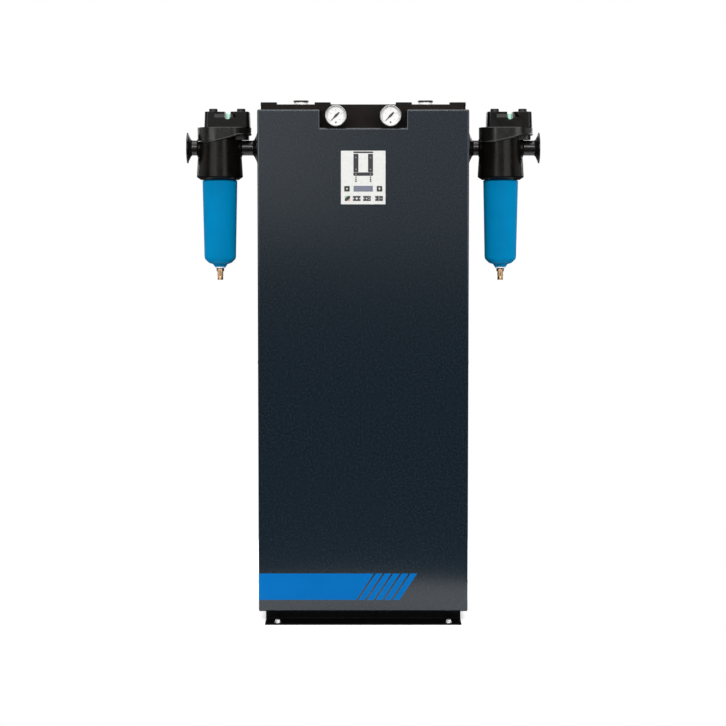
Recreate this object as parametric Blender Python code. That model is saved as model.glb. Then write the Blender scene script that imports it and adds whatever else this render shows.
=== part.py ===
"""Twin-tower desiccant air dryer with a filter at its inlet and another at its outlet.

Metres. X is the width, Y the depth with the front facing -Y, and Z the height above the floor.
The origin is on the floor, in the middle of the base. Air enters the left filter, goes down the
transfer tube to the shuttle in the bottom manifold, up through one tower, past that tower's check
valve in the top manifold and out through the right filter.
"""

import math

import bmesh
import bpy
from mathutils import Matrix, Vector

GAP = 0.0003            # between pieces that touch
QUARTER = math.radians(90)
LEFT, RIGHT = -1, 1
FRONT, REAR = -1, 1
SIDES = (("left", LEFT), ("right", RIGHT))
LOOSE = 0.0005          # round a piece that passes through a hole
DEEP = 0.010            # how far a cutter runs past the face it opens
LARGE_ROUND, ROUND, SMALL_ROUND = 28, 16, 12  # sides of round pieces

# Cabinet
COVER_HALF = 0.237
CABINET_HALF_DEPTH = 0.150
COVER_BOTTOM = 0.0232
COVER_TOP = 1.1563
SHEET = 0.002
COVER_RETURN = 0.025
COVER_LIP = 0.042
NOTCH_HALF = 0.0965
NOTCH_BOTTOM = 1.1153
SIDE_BOTTOM = 0.026
SIDE_TOP = 1.152
SIDE_HALF_DEPTH = 0.140
SIDE_OUTER = COVER_HALF - SHEET - LOOSE
GLAND_X, GLAND_Z, GLAND_SHANK, GLAND_BODY, GLAND_BORE = 0.150, 0.095, 0.010, 0.0135, 0.0042

# Base tray, a hat section
TRAY_HALF = 0.2215
TRAY_SHEET = 0.003
TRAY_REACH = 0.190      # front edge of the floor flange
TRAY_SKIRT = 0.130      # front face of the upright skirt
TRAY_DECK = 0.040
ANCHOR_X, ANCHOR_Y, ANCHOR_RADIUS = 0.193, 0.176, 0.0055

# Towers
TOWER_X = 0.153
TOWER_HALF = 0.078
TOWER_CORNER = 0.022
TOWER_WALL = 0.009
BED_MARGIN = 0.018      # bed to each end of its tower
CORNER_CHANNEL, CHANNEL_INSET = 0.0045, 0.0125

# Manifolds
BOTTOM_HALF, BOTTOM_HALF_DEPTH, BOTTOM_TOP = 0.225, 0.085, 0.115
SUPPLY_Z, SUPPLY_RADIUS = 0.078, 0.015
TOP_HALF, TOP_HALF_DEPTH, TOP_BOTTOM, TOP_TOP = 0.231, 0.105, 1.030, 1.1692
PAD_HEIGHT, PAD_DEPTH, PAD_WIDTH = 0.0047, 0.040, 0.036
PAD_X = (0.0915, 0.213)
PAD_BORE, PAD_BORE_DEPTH = 0.009, 0.012
PORT_Z, PORT_RADIUS, PORT_BOSS, PORT_FACE = 1.0734, 0.0135, 0.028, 0.2405
GALLERY_Y, GALLERY_HALF = 0.055, 0.168
TOWER_INLET_RADIUS, TOWER_OUTLET_RADIUS = 0.013, 0.011
CROSS_BORE_X, CROSS_BORE_RADIUS = 0.088, 0.0125

# Fill plugs on their washers
FILL_X, FILL_Y, FILL_RADIUS = 0.1415, -0.050, 0.012
WASHER_RADIUS, WASHER_HEIGHT = 0.0155, 0.0063
PLUG_RADIUS, PLUG_HEIGHT, PLUG_SHANK = 0.0175, 0.004, 0.030

# Valves
TUBE_RADIUS, TUBE_BORE = 0.017, 0.014
SHUTTLE_STROKE, SHUTTLE_HALF, SHUTTLE_RADIUS = 0.012, 0.034, 0.0145
SHUTTLE_DISC, SHUTTLE_ROD = 0.008, 0.004
CHECK_X, CHECK_STROKE, CHECK_RADIUS = 0.118, 0.006, 0.0143
CHECK_DISC, CHECK_STEM, CHECK_LENGTH = 0.006, 0.003, 0.014
PURGE_X, PURGE_RADIUS, PURGE_FOOT, PURGE_HEIGHT, PURGE_SEAT = 0.052, 0.0195, 0.014, 0.085, 0.0045
PLUNGER_RADIUS, PLUNGER_STROKE = 0.006, 0.004
SILENCER_RADIUS, SILENCER_NECK, SILENCER_LENGTH = 0.016, 0.010, 0.050

# Gauges: distances along the gauge's own axis start at the top manifold's front face
GAUGE_X, GAUGE_Z, GAUGE_RADIUS = 0.061, 1.1424, 0.0237
GAUGE_DEPTH, GAUGE_BACK, GAUGE_FLOOR, GAUGE_PORT_RADIUS = 0.051, 0.020, 0.044, 0.0052
STEM_RADIUS, STEM_END_RADIUS, STEM_REACH = 0.0075, 0.0045, 0.010
DIAL_RADIUS, DIAL_SHEET, LENS_SHEET = 0.0219, 0.0010, 0.0015
NEEDLE_HUB, NEEDLE_TIP, NEEDLE_TAIL, NEEDLE_SHEET = 0.0021, 0.0150, -0.0095, 0.0008
NEEDLE_POINT, NEEDLE_BUTT = 0.0002, 0.0012  # half widths of the pointer's tip and the tail's end
NEEDLE_ZERO = math.radians(225)  # clockwise from straight up, seen from the front

# Control panel
LABEL_HALF, LABEL_BOTTOM, LABEL_TOP, LABEL_SHEET = 0.0498, 0.9450, 1.0644, 0.0008
KEY_ROW_Z, KEY_X, KEY_SIZE, KEY_PROUD, KEY_BACK = 0.9797, 0.0363, 0.0118, 0.0008, 0.0010
KEY_MARGIN = 0.003      # round the keys, in the cover behind the label
DISPLAY_SIZE = (0.0425, 0.0122)
CONTROL_BOX_HALF, CONTROL_BOX_DEPTH, CONTROL_BOX_MARGIN = 0.058, 0.041, 0.005

# Filters: X from the bowl's axis, Z from the port's axis
FILTER_X = {"left": -0.3300, "right": 0.3165}
SHORT_FACE, LONG_FACE = -0.0755, 0.0890
NIPPLE_RADIUS, NIPPLE_BORE = 0.0172, 0.0132
FLANGE_RADIUS, FLANGE_RIM, FLANGE_CONE = 0.0353, 0.003, 0.0085
HEAD_BOSS, HEAD_BOSS_FACE = 0.0200, 0.0515
HEAD_BORE, HEAD_BORE_TOP, HEAD_BOTTOM = 0.0380, -0.040, -0.0734
HEAD_INTAKE, HEAD_OUTLET, HEAD_OUTLET_X = 0.0105, 0.006, 0.0305
DECK_TOP, DECK_UNDERSIDE, DECK_STEP = 0.0469, 0.0284, 0.0183
DECK_HALF, DECK_HALF_DEPTH, DECK_CORNER, DECK_CENTRE = 0.0615, 0.0505, 0.046, 0.0110
SHELF_HALF, SHELF_HALF_DEPTH, SHELF_CORNER, SHELF_CENTRE = 0.0330, 0.030, 0.020, 0.0342
CAP_CENTRE, CAP_HALF, CAP_HALF_DEPTH, CAP_TOP, CAP_CORNER = 0.0175, 0.0522, 0.034, 0.0824, 0.012
CAP_NOTCH_X, CAP_NOTCH_HALF, CAP_NOTCH_DEPTH = 0.0197, 0.0068, 0.0175
CAP_SCREW_OFFSET, CAP_SCREW_RADIUS, CAP_SCREW_HEAD = 0.0320, 0.0099, 0.0073
CAP_SCREW_SHANK, CAP_SCREW_LENGTH, CAP_SCREW_HOLE, CAP_SCREW_SOCKET = 0.0038, 0.040, 0.0042, 0.0045
INDICATOR_RADIUS, INDICATOR_TOP, INDICATOR_SEAT = 0.0056, 0.0800, 0.0560
BOWL_NECK, BOWL_NECK_TOP, BOWL_TOP, BOWL_RIM = 0.0372, -0.048, -0.0740, 0.0402
BOWL_FOOT, BOWL_FOOT_RADIUS, BOWL_DOME, BOWL_WALL = -0.2437, 0.0368, 0.0255, 0.003
BOWL_BOSS_RADIUS, BOWL_END, BOWL_END_RADIUS = 0.0135, -0.2765, 0.0095
DRAIN_BORE, DRAIN_COLLAR, DRAIN_STEM, DRAIN_HOLE = 0.0060, 0.0084, 0.0066, 0.0015
DRAIN_TOP, DRAIN_COLLAR_END, DRAIN_END = -0.258, -0.2835, -0.3030
ELEMENT_RADIUS, ELEMENT_BORE, ELEMENT_TOP, ELEMENT_BOTTOM = 0.027, 0.012, -0.0410, -0.232

# name: (colour, roughness, metallic)
FINISHES = {
    "blue_grey_powder_coat": ((0.040, 0.050, 0.060), 0.55, 0.0),
    "black_steel": ((0.006, 0.006, 0.007), 0.45, 0.0),
    "black_casting": ((0.020, 0.018, 0.017), 0.40, 0.0),
    "bare_aluminium": ((0.60, 0.61, 0.62), 0.35, 1.0),
    "desiccant": ((0.80, 0.78, 0.72), 0.90, 0.0),
    "brass": ((0.55, 0.36, 0.19), 0.35, 1.0),
    "sintered_bronze": ((0.42, 0.28, 0.16), 0.70, 1.0),
    "black_plastic": ((0.015, 0.015, 0.015), 0.50, 0.0),
    "white_nylon": ((0.80, 0.80, 0.78), 0.50, 0.0),
    "dial_white": ((0.85, 0.85, 0.83), 0.50, 0.0),
    "clear_lens": ((0.90, 0.92, 0.92), 0.05, 0.0),
    "label_white": ((0.84, 0.84, 0.80), 0.45, 0.0),
    "display_grey": ((0.22, 0.24, 0.31), 0.20, 0.0),
    "bowl_blue": ((0.002, 0.200, 0.450), 0.40, 0.0),
    "indicator_green": ((0.30, 0.62, 0.45), 0.30, 0.0),
    "filter_media": ((0.82, 0.82, 0.80), 0.85, 0.0),
}


def clear_scene():
    for thing in list(bpy.data.objects):
        bpy.data.objects.remove(thing)


def finish(name):
    material = bpy.data.materials.get(name)
    if material is None:
        colour, roughness, metallic = FINISHES[name]
        material = bpy.data.materials.new(name)
        material.use_nodes = True
        shader = material.node_tree.nodes["Principled BSDF"]
        shader.inputs["Base Color"].default_value = (*colour, 1.0)
        shader.inputs["Roughness"].default_value = roughness
        shader.inputs["Metallic"].default_value = metallic
    return material


def mesh_of(name, build, *details):
    """A mesh made by build(bm, *details), with its faces pointing out."""
    bm = bmesh.new()
    build(bm, *details)
    bmesh.ops.recalc_face_normals(bm, faces=bm.faces)
    mesh = bpy.data.meshes.new(name)
    bm.to_mesh(mesh)
    bm.free()
    return mesh


def add(name, mesh, finish_name, at=(0, 0, 0), turn=(0, 0, 0), parent=None, smooth=False):
    thing = bpy.data.objects.new(name, mesh)
    bpy.context.collection.objects.link(thing)
    thing.location = at
    thing.rotation_euler = turn
    thing.parent = parent
    mesh.materials.clear()
    mesh.materials.append(finish(finish_name))
    if smooth:
        mesh.shade_smooth()
        mesh.set_sharp_from_angle(angle=math.radians(35))
    return thing


def add_turned(name, profile, sides, finish_name, **place):
    """A round piece, made by turning a profile about its own Z axis."""
    return add(name, mesh_of(name, turned, profile, sides), finish_name, smooth=True, **place)


def add_empty(name, at, turn=(0, 0, 0)):
    empty = bpy.data.objects.new(name, None)
    bpy.context.collection.objects.link(empty)
    empty.location = at
    empty.rotation_euler = turn
    return empty


def combine(thing, build, details, operation):
    """Joins to a thing, or cuts from it, the shape that build makes in the thing's own frame."""
    tool = bpy.data.objects.new(f"{thing.name}_tool", mesh_of("tool", build, *details))
    bpy.context.collection.objects.link(tool)
    tool.parent = thing
    tool.hide_render = True
    tool.display_type = "WIRE"
    modifier = thing.modifiers.new(operation.title(), "BOOLEAN")
    modifier.operation = operation
    modifier.solver = "EXACT"
    modifier.object = tool


def cut(thing, build, *details):
    combine(thing, build, details, "DIFFERENCE")


def join(thing, build, *details):
    combine(thing, build, details, "UNION")


def bevel(thing, width, segments=1):
    modifier = thing.modifiers.new("Bevel", "BEVEL")
    modifier.width = width
    modifier.segments = segments
    modifier.limit_method = "ANGLE"
    modifier.angle_limit = math.radians(60)


def boxes(bm, *corners):
    """Boxes, each given as its lowest and its highest corner."""
    for low, high in corners:
        low, high = Vector(low), Vector(high)
        place = Matrix.Translation((low + high) / 2) @ Matrix.Diagonal((*(high - low), 1))
        bmesh.ops.create_cube(bm, size=1, matrix=place)


def rods(bm, sides, *ends):
    """Round rods, each given as its start, its end and its radius."""
    for start, end, radius in ends:
        start, end = Vector(start), Vector(end)
        along = end - start
        turn = along.to_track_quat("Z", "Y").to_matrix().to_4x4()
        bmesh.ops.create_cone(
            bm, cap_ends=True, segments=sides, radius1=radius, radius2=radius,
            depth=along.length, matrix=Matrix.Translation((start + end) / 2) @ turn,
        )


def prism(bm, outline, low, high):
    """An outline in X and Y, extruded from one height to another."""
    face = bm.faces.new([bm.verts.new((x, y, low)) for x, y in outline])
    top = bmesh.ops.extrude_face_region(bm, geom=[face])["geom"]
    bmesh.ops.translate(
        bm, vec=(0, 0, high - low), verts=[v for v in top if isinstance(v, bmesh.types.BMVert)]
    )


def turned(bm, profile, sides):
    """A closed profile of (radius, height) points, turned about Z."""
    points = [bm.verts.new((radius, 0, height)) for radius, height in profile]
    edges = [
        bm.edges.new((a, b)) for a, b in zip(points, points[1:] + points[:1]) if a.co.x or b.co.x
    ]
    bmesh.ops.spin(
        bm, geom=points + edges, cent=(0, 0, 0), axis=(0, 0, 1), angle=math.tau,
        steps=sides, use_merge=False, use_duplicate=False,
    )
    bmesh.ops.remove_doubles(bm, verts=bm.verts, dist=1e-6)


def rounded_rectangle(half_x, half_y, radius, steps=4, centre_x=0.0):
    points = []
    for corner, (sx, sy) in enumerate(((1, 1), (-1, 1), (-1, -1), (1, -1))):
        for step in range(steps + 1):
            angle = math.radians(90) * (corner + step / steps)
            x = centre_x + sx * (half_x - radius) + radius * math.cos(angle)
            y = sy * (half_y - radius) + radius * math.sin(angle)
            points.append((x, y))
    return points


def span(side, near, far):
    """A range on one side of the middle, lowest first."""
    return sorted((side * near, side * far))


# ---------------------------------------------------------------- cabinet and base

def base_tray():
    """A folded hat section: two floor flanges, two skirts and a deck."""
    sheet, reach, skirt, deck = TRAY_SHEET, TRAY_REACH, TRAY_SKIRT, TRAY_DECK
    half = [
        (skirt - sheet, deck - sheet), (skirt - sheet, 0), (reach, 0),
        (reach, sheet), (skirt, sheet), (skirt, deck),
    ]
    outline = half + [(-y, z) for y, z in reversed(half)]
    # The outline's own X and Y become Y and Z once the tray is turned along X.
    mesh = mesh_of("base_tray", prism, outline, -TRAY_HALF, TRAY_HALF)
    mesh.transform(Matrix(((0, 0, 1, 0), (1, 0, 0, 0), (0, 1, 0, 0), (0, 0, 0, 1))))
    tray = add("base_tray", mesh, "black_steel")
    holes = [
        ((x, y, -DEEP), (x, y, DEEP), ANCHOR_RADIUS)
        for x in (-ANCHOR_X, ANCHOR_X) for y in (-ANCHOR_Y, ANCHOR_Y)
    ]
    cut(tray, rods, SMALL_ROUND, *holes)


def cover(name, facing):
    """A folded pan: the face, a return down each side and a lip along the top."""
    outer, inner = CABINET_HALF_DEPTH, CABINET_HALF_DEPTH - SHEET
    back = CABINET_HALF_DEPTH - COVER_RETURN
    low, high = span(facing, back, outer)
    mesh = mesh_of(name, boxes, ((-COVER_HALF, low, COVER_BOTTOM), (COVER_HALF, high, COVER_TOP)))
    pan = add(name, mesh, "blue_grey_powder_coat")
    low, high = span(facing, back - DEEP, inner)
    side = COVER_HALF - SHEET
    cut(pan, boxes, ((-side, low, COVER_BOTTOM - DEEP), (side, high, COVER_TOP + DEEP)))
    low, high = span(facing, outer - COVER_LIP, outer - SHEET / 2)
    lip_half = side + SHEET / 2
    join(pan, boxes, ((-lip_half, low, COVER_TOP - SHEET), (lip_half, high, COVER_TOP)))
    return pan


def front_cover():
    """The front pan, notched for the gauges and pierced behind the control label."""
    pan = cover("front_cover", FRONT)
    near = -CABINET_HALF_DEPTH - DEEP
    cut(pan, boxes, (
        (-NOTCH_HALF, near, NOTCH_BOTTOM),
        (NOTCH_HALF, near + COVER_LIP + 2 * DEEP, COVER_TOP + DEEP),
    ))
    half, rise = KEY_X + KEY_SIZE / 2 + KEY_MARGIN, KEY_SIZE / 2 + KEY_MARGIN
    cut(pan, boxes, (
        (-half, near, KEY_ROW_Z - rise), (half, near + SHEET + 2 * DEEP, KEY_ROW_Z + rise),
    ))


def rear_cover():
    """The rear pan, with a round hole for the power gland."""
    pan = cover("rear_cover", REAR)
    near, far = CABINET_HALF_DEPTH - DEEP, CABINET_HALF_DEPTH + DEEP
    cut(pan, rods, ROUND, ((GLAND_X, near, GLAND_Z), (GLAND_X, far, GLAND_Z), GLAND_SHANK + LOOSE))


def side_panel(name, side):
    """A flat side sheet behind the covers' returns, with a hole for the port."""
    low, high = span(side, SIDE_OUTER - SHEET, SIDE_OUTER)
    mesh = mesh_of(
        name, boxes, ((low, -SIDE_HALF_DEPTH, SIDE_BOTTOM), (high, SIDE_HALF_DEPTH, SIDE_TOP))
    )
    panel = add(name, mesh, "blue_grey_powder_coat")
    hole = PORT_BOSS + SHEET
    cut(panel, rods, LARGE_ROUND, ((low - DEEP, 0, PORT_Z), (high + DEEP, 0, PORT_Z), hole))


def power_gland():
    """A cable gland through the rear cover, pointing back, with nothing in it."""
    inside = -SHEET - DEEP
    profile = [
        (GLAND_BORE, 0.026), (0.0095, 0.026), (0.0115, 0.021), (0.0115, 0.010), (GLAND_BODY, 0.008),
        (GLAND_BODY, GAP), (GLAND_SHANK, GAP), (GLAND_SHANK, inside), (GLAND_BORE, inside),
    ]
    add_turned("power_gland", profile, SMALL_ROUND, "black_plastic",
               at=(GLAND_X, CABINET_HALF_DEPTH, GLAND_Z), turn=(-QUARTER, 0, 0))


# ---------------------------------------------------------------- towers and manifolds

def tower(name, side):
    """A square extrusion: one chamber, and a channel for a tie rod in each corner."""
    low, high = BOTTOM_TOP + GAP, TOP_BOTTOM - GAP
    outline = rounded_rectangle(TOWER_HALF, TOWER_HALF, TOWER_CORNER)
    column = add(name, mesh_of(name, prism, outline, low, high), "bare_aluminium",
                 at=(side * TOWER_X, 0, 0))
    inner = TOWER_HALF - TOWER_WALL
    chamber = rounded_rectangle(inner, inner, TOWER_CORNER + TOWER_WALL)
    cut(column, prism, chamber, low - DEEP, high + DEEP)
    corner = TOWER_HALF - CHANNEL_INSET
    channels = [
        ((x, y, low - DEEP), (x, y, high + DEEP), CORNER_CHANNEL)
        for x in (-corner, corner) for y in (-corner, corner)
    ]
    cut(column, rods, SMALL_ROUND, *channels)


def desiccant_bed(name, side):
    """The beads that fill a tower, as one block."""
    inner = TOWER_HALF - TOWER_WALL - GAP
    outline = rounded_rectangle(inner, inner, TOWER_CORNER + TOWER_WALL)
    mesh = mesh_of(name, prism, outline, BOTTOM_TOP + BED_MARGIN, TOP_BOTTOM - BED_MARGIN)
    add(name, mesh, "desiccant", at=(side * TOWER_X, 0, 0))


def bottom_manifold():
    """A block with a supply gallery along X, opened upwards to the tube, towers and purge valves."""
    low = TRAY_DECK + GAP
    mesh = mesh_of("bottom_manifold", boxes, (
        (-BOTTOM_HALF, -BOTTOM_HALF_DEPTH, low), (BOTTOM_HALF, BOTTOM_HALF_DEPTH, BOTTOM_TOP),
    ))
    block = add("bottom_manifold", mesh, "black_casting")
    reach = TOWER_X + SUPPLY_RADIUS
    cut(block, rods, ROUND, ((-reach, 0, SUPPLY_Z), (reach, 0, SUPPLY_Z), SUPPLY_RADIUS))
    openings = [(0, TUBE_BORE)]
    for side in (LEFT, RIGHT):
        openings += [(side * TOWER_X, TOWER_INLET_RADIUS), (side * PURGE_X, PURGE_SEAT)]
    top = BOTTOM_TOP + DEEP
    cut(block, rods, ROUND, *[((x, 0, SUPPLY_Z), (x, 0, top), radius) for x, radius in openings])


def manifold_pads():
    """The corner pads on top of the top manifold, as (centre x, centre y) pairs."""
    y = TOP_HALF_DEPTH - PAD_DEPTH / 2
    return [(s * x, f * y) for s in (LEFT, RIGHT) for x in PAD_X for f in (FRONT, REAR)]


def top_manifold():
    """The block on the towers: ports at both sides, an outlet gallery, fill ports and gauge ports."""
    mesh = mesh_of("top_manifold", boxes, (
        (-TOP_HALF, -TOP_HALF_DEPTH, TOP_BOTTOM), (TOP_HALF, TOP_HALF_DEPTH, TOP_TOP),
    ))
    block = add("top_manifold", mesh, "black_casting")
    rise, half_x, half_y = TOP_TOP + PAD_HEIGHT, PAD_WIDTH / 2, PAD_DEPTH / 2
    pads = [
        ((x - half_x, y - half_y, TOP_TOP - DEEP), (x + half_x, y + half_y, rise))
        for x, y in manifold_pads()
    ]
    join(block, boxes, *pads)
    for side in (LEFT, RIGHT):
        inside, face = side * (TOP_HALF - DEEP), side * PORT_FACE
        join(block, rods, LARGE_ROUND, ((inside, 0, PORT_Z), (face, 0, PORT_Z), PORT_BOSS))
    outside = PORT_FACE + DEEP
    cut(block, rods, ROUND,
        ((-outside, 0, PORT_Z), (TUBE_BORE, 0, PORT_Z), PORT_RADIUS),
        ((CROSS_BORE_X - PORT_RADIUS, 0, PORT_Z), (outside, 0, PORT_Z), PORT_RADIUS),
        ((-GALLERY_HALF, GALLERY_Y, PORT_Z), (GALLERY_HALF, GALLERY_Y, PORT_Z), SUPPLY_RADIUS))
    under, front = TOP_BOTTOM - DEEP, -TOP_HALF_DEPTH
    branches = [
        ((0, 0, under), (0, 0, PORT_Z), TUBE_BORE - LOOSE),
        ((CROSS_BORE_X, GAP, PORT_Z), (CROSS_BORE_X, GALLERY_Y, PORT_Z), CROSS_BORE_RADIUS),
    ]
    for side in (LEFT, RIGHT):
        outlet, fill, gauge = side * TOWER_X, side * FILL_X, side * GAUGE_X
        branches += [
            ((outlet, GALLERY_Y, under), (outlet, GALLERY_Y, PORT_Z), TOWER_OUTLET_RADIUS),
            ((fill, FILL_Y, under), (fill, FILL_Y, TOP_TOP + DEEP), FILL_RADIUS),
            ((gauge, front - DEEP, GAUGE_Z), (gauge, front + 2 * DEEP, GAUGE_Z), GAUGE_PORT_RADIUS),
        ]
    branches += [
        ((x, y, rise - PAD_BORE_DEPTH), (x, y, rise + DEEP), PAD_BORE) for x, y in manifold_pads()
    ]
    cut(block, rods, SMALL_ROUND, *branches)


def transfer_tube():
    """The pipe between the towers that takes the inlet air down to the bottom manifold."""
    low, high = BOTTOM_TOP + GAP, TOP_BOTTOM - GAP
    profile = [(TUBE_BORE, high), (TUBE_RADIUS, high), (TUBE_RADIUS, low), (TUBE_BORE, low)]
    add_turned("transfer_tube", profile, ROUND, "bare_aluminium")


def fill_port(name, side):
    """A black plug on a white washer, over a tower."""
    at = (side * FILL_X, FILL_Y, TOP_TOP)
    bore, shank = FILL_RADIUS - GAP, FILL_RADIUS - 3 * GAP
    washer = [(bore, WASHER_HEIGHT), (WASHER_RADIUS, WASHER_HEIGHT), (WASHER_RADIUS, GAP), (bore, GAP)]
    add_turned(f"fill_washer_{name}", washer, ROUND, "white_nylon", at=at)
    seat = WASHER_HEIGHT + GAP
    top, end = seat + PLUG_HEIGHT, seat - PLUG_SHANK
    plug = [(0, top), (PLUG_RADIUS, top), (PLUG_RADIUS, seat), (shank, seat), (shank, end), (0, end)]
    add_turned(f"fill_plug_{name}", plug, ROUND, "black_plastic", at=at)


# ---------------------------------------------------------------- valves

def inlet_shuttle():
    """Two discs on a rod in the supply gallery: it closes off the tower that is being purged."""
    end, inner = SHUTTLE_HALF, SHUTTLE_HALF - SHUTTLE_DISC
    profile = [
        (0, end), (SHUTTLE_RADIUS, end), (SHUTTLE_RADIUS, inner), (SHUTTLE_ROD, inner),
        (SHUTTLE_ROD, -inner), (SHUTTLE_RADIUS, -inner), (SHUTTLE_RADIUS, -end), (0, -end),
    ]
    add_turned("inlet_shuttle", profile, ROUND, "bare_aluminium",
               at=(-SHUTTLE_STROKE / 2, 0, SUPPLY_Z), turn=(0, QUARTER, 0))


def outlet_check(name, side):
    """A tower's outlet check disc, which opens inwards. The left one rests closed, the right one open."""
    profile = [
        (0, CHECK_DISC), (CHECK_RADIUS, CHECK_DISC), (CHECK_RADIUS, 0), (CHECK_STEM, 0),
        (CHECK_STEM, -CHECK_LENGTH), (0, -CHECK_LENGTH),
    ]
    x = side * CHECK_X if side == LEFT else side * (CHECK_X - CHECK_STROKE)
    add_turned(f"outlet_check_{name}", profile, ROUND, "bare_aluminium",
               at=(x, GALLERY_Y, PORT_Z), turn=(0, -side * QUARTER, 0))


def purge_valve(name, side):
    """A solenoid valve standing on the bottom manifold, and the plunger inside it."""
    at = (side * PURGE_X, 0, BOTTOM_TOP + GAP)
    guide = PLUNGER_RADIUS + GAP
    crown, coil_top = PURGE_HEIGHT, PURGE_HEIGHT - 0.006
    roof = coil_top - 0.002
    body = [
        (0, crown), (PLUNGER_RADIUS, crown), (PLUNGER_RADIUS, coil_top), (PURGE_RADIUS, coil_top),
        (PURGE_RADIUS, 0.032), (PURGE_FOOT, 0.030), (PURGE_FOOT, 0), (guide, 0), (guide, roof), (0, roof),
    ]
    add_turned(f"purge_valve_{name}", body, ROUND, "black_plastic", at=at)
    top = roof - 1.5 * PLUNGER_STROKE
    plunger = [(0, top), (PLUNGER_RADIUS, top), (PLUNGER_RADIUS, GAP), (0, GAP)]
    add_turned(f"purge_plunger_{name}", plunger, SMALL_ROUND, "brass", at=at)


def silencer(name, side):
    """An exhaust silencer on the front of the bottom manifold."""
    end, radius, neck = SILENCER_LENGTH, SILENCER_RADIUS, SILENCER_NECK
    profile = [
        (0, end), (radius - 0.004, end), (radius, end - 0.005), (radius, 0.012), (neck, 0.008),
        (neck, GAP), (0, GAP),
    ]
    add_turned(f"silencer_{name}", profile, ROUND, "sintered_bronze",
               at=(side * PURGE_X, -BOTTOM_HALF_DEPTH, SUPPLY_Z), turn=(QUARTER, 0, 0))


# ---------------------------------------------------------------- gauges

def needle_outline():
    """A hub, drawn out into a thin pointer up its own Y and a thick tail down it."""
    points = [(NEEDLE_POINT, NEEDLE_TIP), (-NEEDLE_POINT, NEEDLE_TIP)]
    flank = []
    for step in range(5):
        angle = math.radians(115 + 32 * step)
        flank.append((NEEDLE_HUB * math.cos(angle), NEEDLE_HUB * math.sin(angle)))
    points += flank
    points += [(-NEEDLE_BUTT, NEEDLE_TAIL), (NEEDLE_BUTT, NEEDLE_TAIL)]
    return points + [(-x, y) for x, y in reversed(flank)]


def gauge_case(name, axis):
    """A cup with a rim, and behind it the stem that screws into the top manifold."""
    cup, lip = DIAL_RADIUS + GAP, GAUGE_DEPTH - 0.001
    profile = [
        (0, GAUGE_FLOOR), (cup, GAUGE_FLOOR), (cup, lip), (cup + LOOSE, GAUGE_DEPTH),
        (GAUGE_RADIUS - LOOSE, GAUGE_DEPTH), (GAUGE_RADIUS, lip), (GAUGE_RADIUS, GAUGE_BACK + 0.002),
        (GAUGE_RADIUS - 0.002, GAUGE_BACK), (STEM_RADIUS, GAUGE_BACK), (STEM_RADIUS, GAP),
        (STEM_END_RADIUS, GAP), (STEM_END_RADIUS, -STEM_REACH), (0, -STEM_REACH),
    ]
    add_turned(f"gauge_case_{name}", profile, LARGE_ROUND, "black_plastic", parent=axis)


def gauge(name, side):
    """A pressure gauge on the front of the top manifold, its axis pointing forwards."""
    at = (side * GAUGE_X, -TOP_HALF_DEPTH, GAUGE_Z)
    axis = add_empty(f"gauge_axis_{name}", at, (QUARTER, 0, 0))
    gauge_case(name, axis)
    dial_low, lens_low = GAUGE_FLOOR + GAP, GAUGE_DEPTH - 2 * LENS_SHEET
    for layer, finish_name, low, sheet in (
        ("dial", "dial_white", dial_low, DIAL_SHEET), ("lens", "clear_lens", lens_low, LENS_SHEET),
    ):
        disc = [(0, low + sheet), (DIAL_RADIUS, low + sheet), (DIAL_RADIUS, low), (0, low)]
        add_turned(f"gauge_{layer}_{name}", disc, LARGE_ROUND, finish_name, parent=axis)
    mesh = mesh_of("gauge_needle", prism, needle_outline(), 0, NEEDLE_SHEET)
    add(f"gauge_needle_{name}", mesh, "black_plastic", at=(0, 0, dial_low + DIAL_SHEET + 2 * GAP),
        turn=(0, 0, -NEEDLE_ZERO), parent=axis)


# ---------------------------------------------------------------- control panel

def control_overlay():
    """The white membrane label, with a window for the display and one for each key."""
    front = -CABINET_HALF_DEPTH - GAP
    mesh = mesh_of("control_overlay", boxes, (
        (-LABEL_HALF, front - LABEL_SHEET, LABEL_BOTTOM), (LABEL_HALF, front, LABEL_TOP),
    ))
    label = add("control_overlay", mesh, "label_white")
    windows = [(0, *DISPLAY_SIZE)] + [(side * KEY_X, KEY_SIZE, KEY_SIZE) for side in (LEFT, RIGHT)]
    openings = []
    for x, wide, tall in windows:
        half, rise = wide / 2 + GAP, tall / 2 + GAP
        low = (x - half, front - DEEP, KEY_ROW_Z - rise)
        openings.append((low, (x + half, front + DEEP, KEY_ROW_Z + rise)))
    cut(label, boxes, *openings)


def key_row_piece(name, x, size, proud, finish_name):
    """A small block in one of the label's windows, its origin at the middle of its front face."""
    wide, tall = size
    front = -CABINET_HALF_DEPTH - GAP - LABEL_SHEET - proud
    deep = proud + LABEL_SHEET + KEY_BACK
    mesh = mesh_of(name, boxes, ((-wide / 2, 0, -tall / 2), (wide / 2, deep, tall / 2)))
    bevel(add(name, mesh, finish_name, at=(x, front, KEY_ROW_Z)), 0.0004)


def controller_box():
    """The controller's housing, behind the front cover."""
    near = -CABINET_HALF_DEPTH + SHEET + LOOSE
    mesh = mesh_of("controller_box", boxes, (
        (-CONTROL_BOX_HALF, near, LABEL_BOTTOM - CONTROL_BOX_MARGIN),
        (CONTROL_BOX_HALF, near + CONTROL_BOX_DEPTH, LABEL_TOP + CONTROL_BOX_MARGIN),
    ))
    bevel(add("controller_box", mesh, "black_plastic"), 0.003)


# ---------------------------------------------------------------- filters

def cap_screw_xs():
    return [CAP_CENTRE + side * CAP_SCREW_OFFSET for side in (LEFT, RIGHT)]


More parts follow.
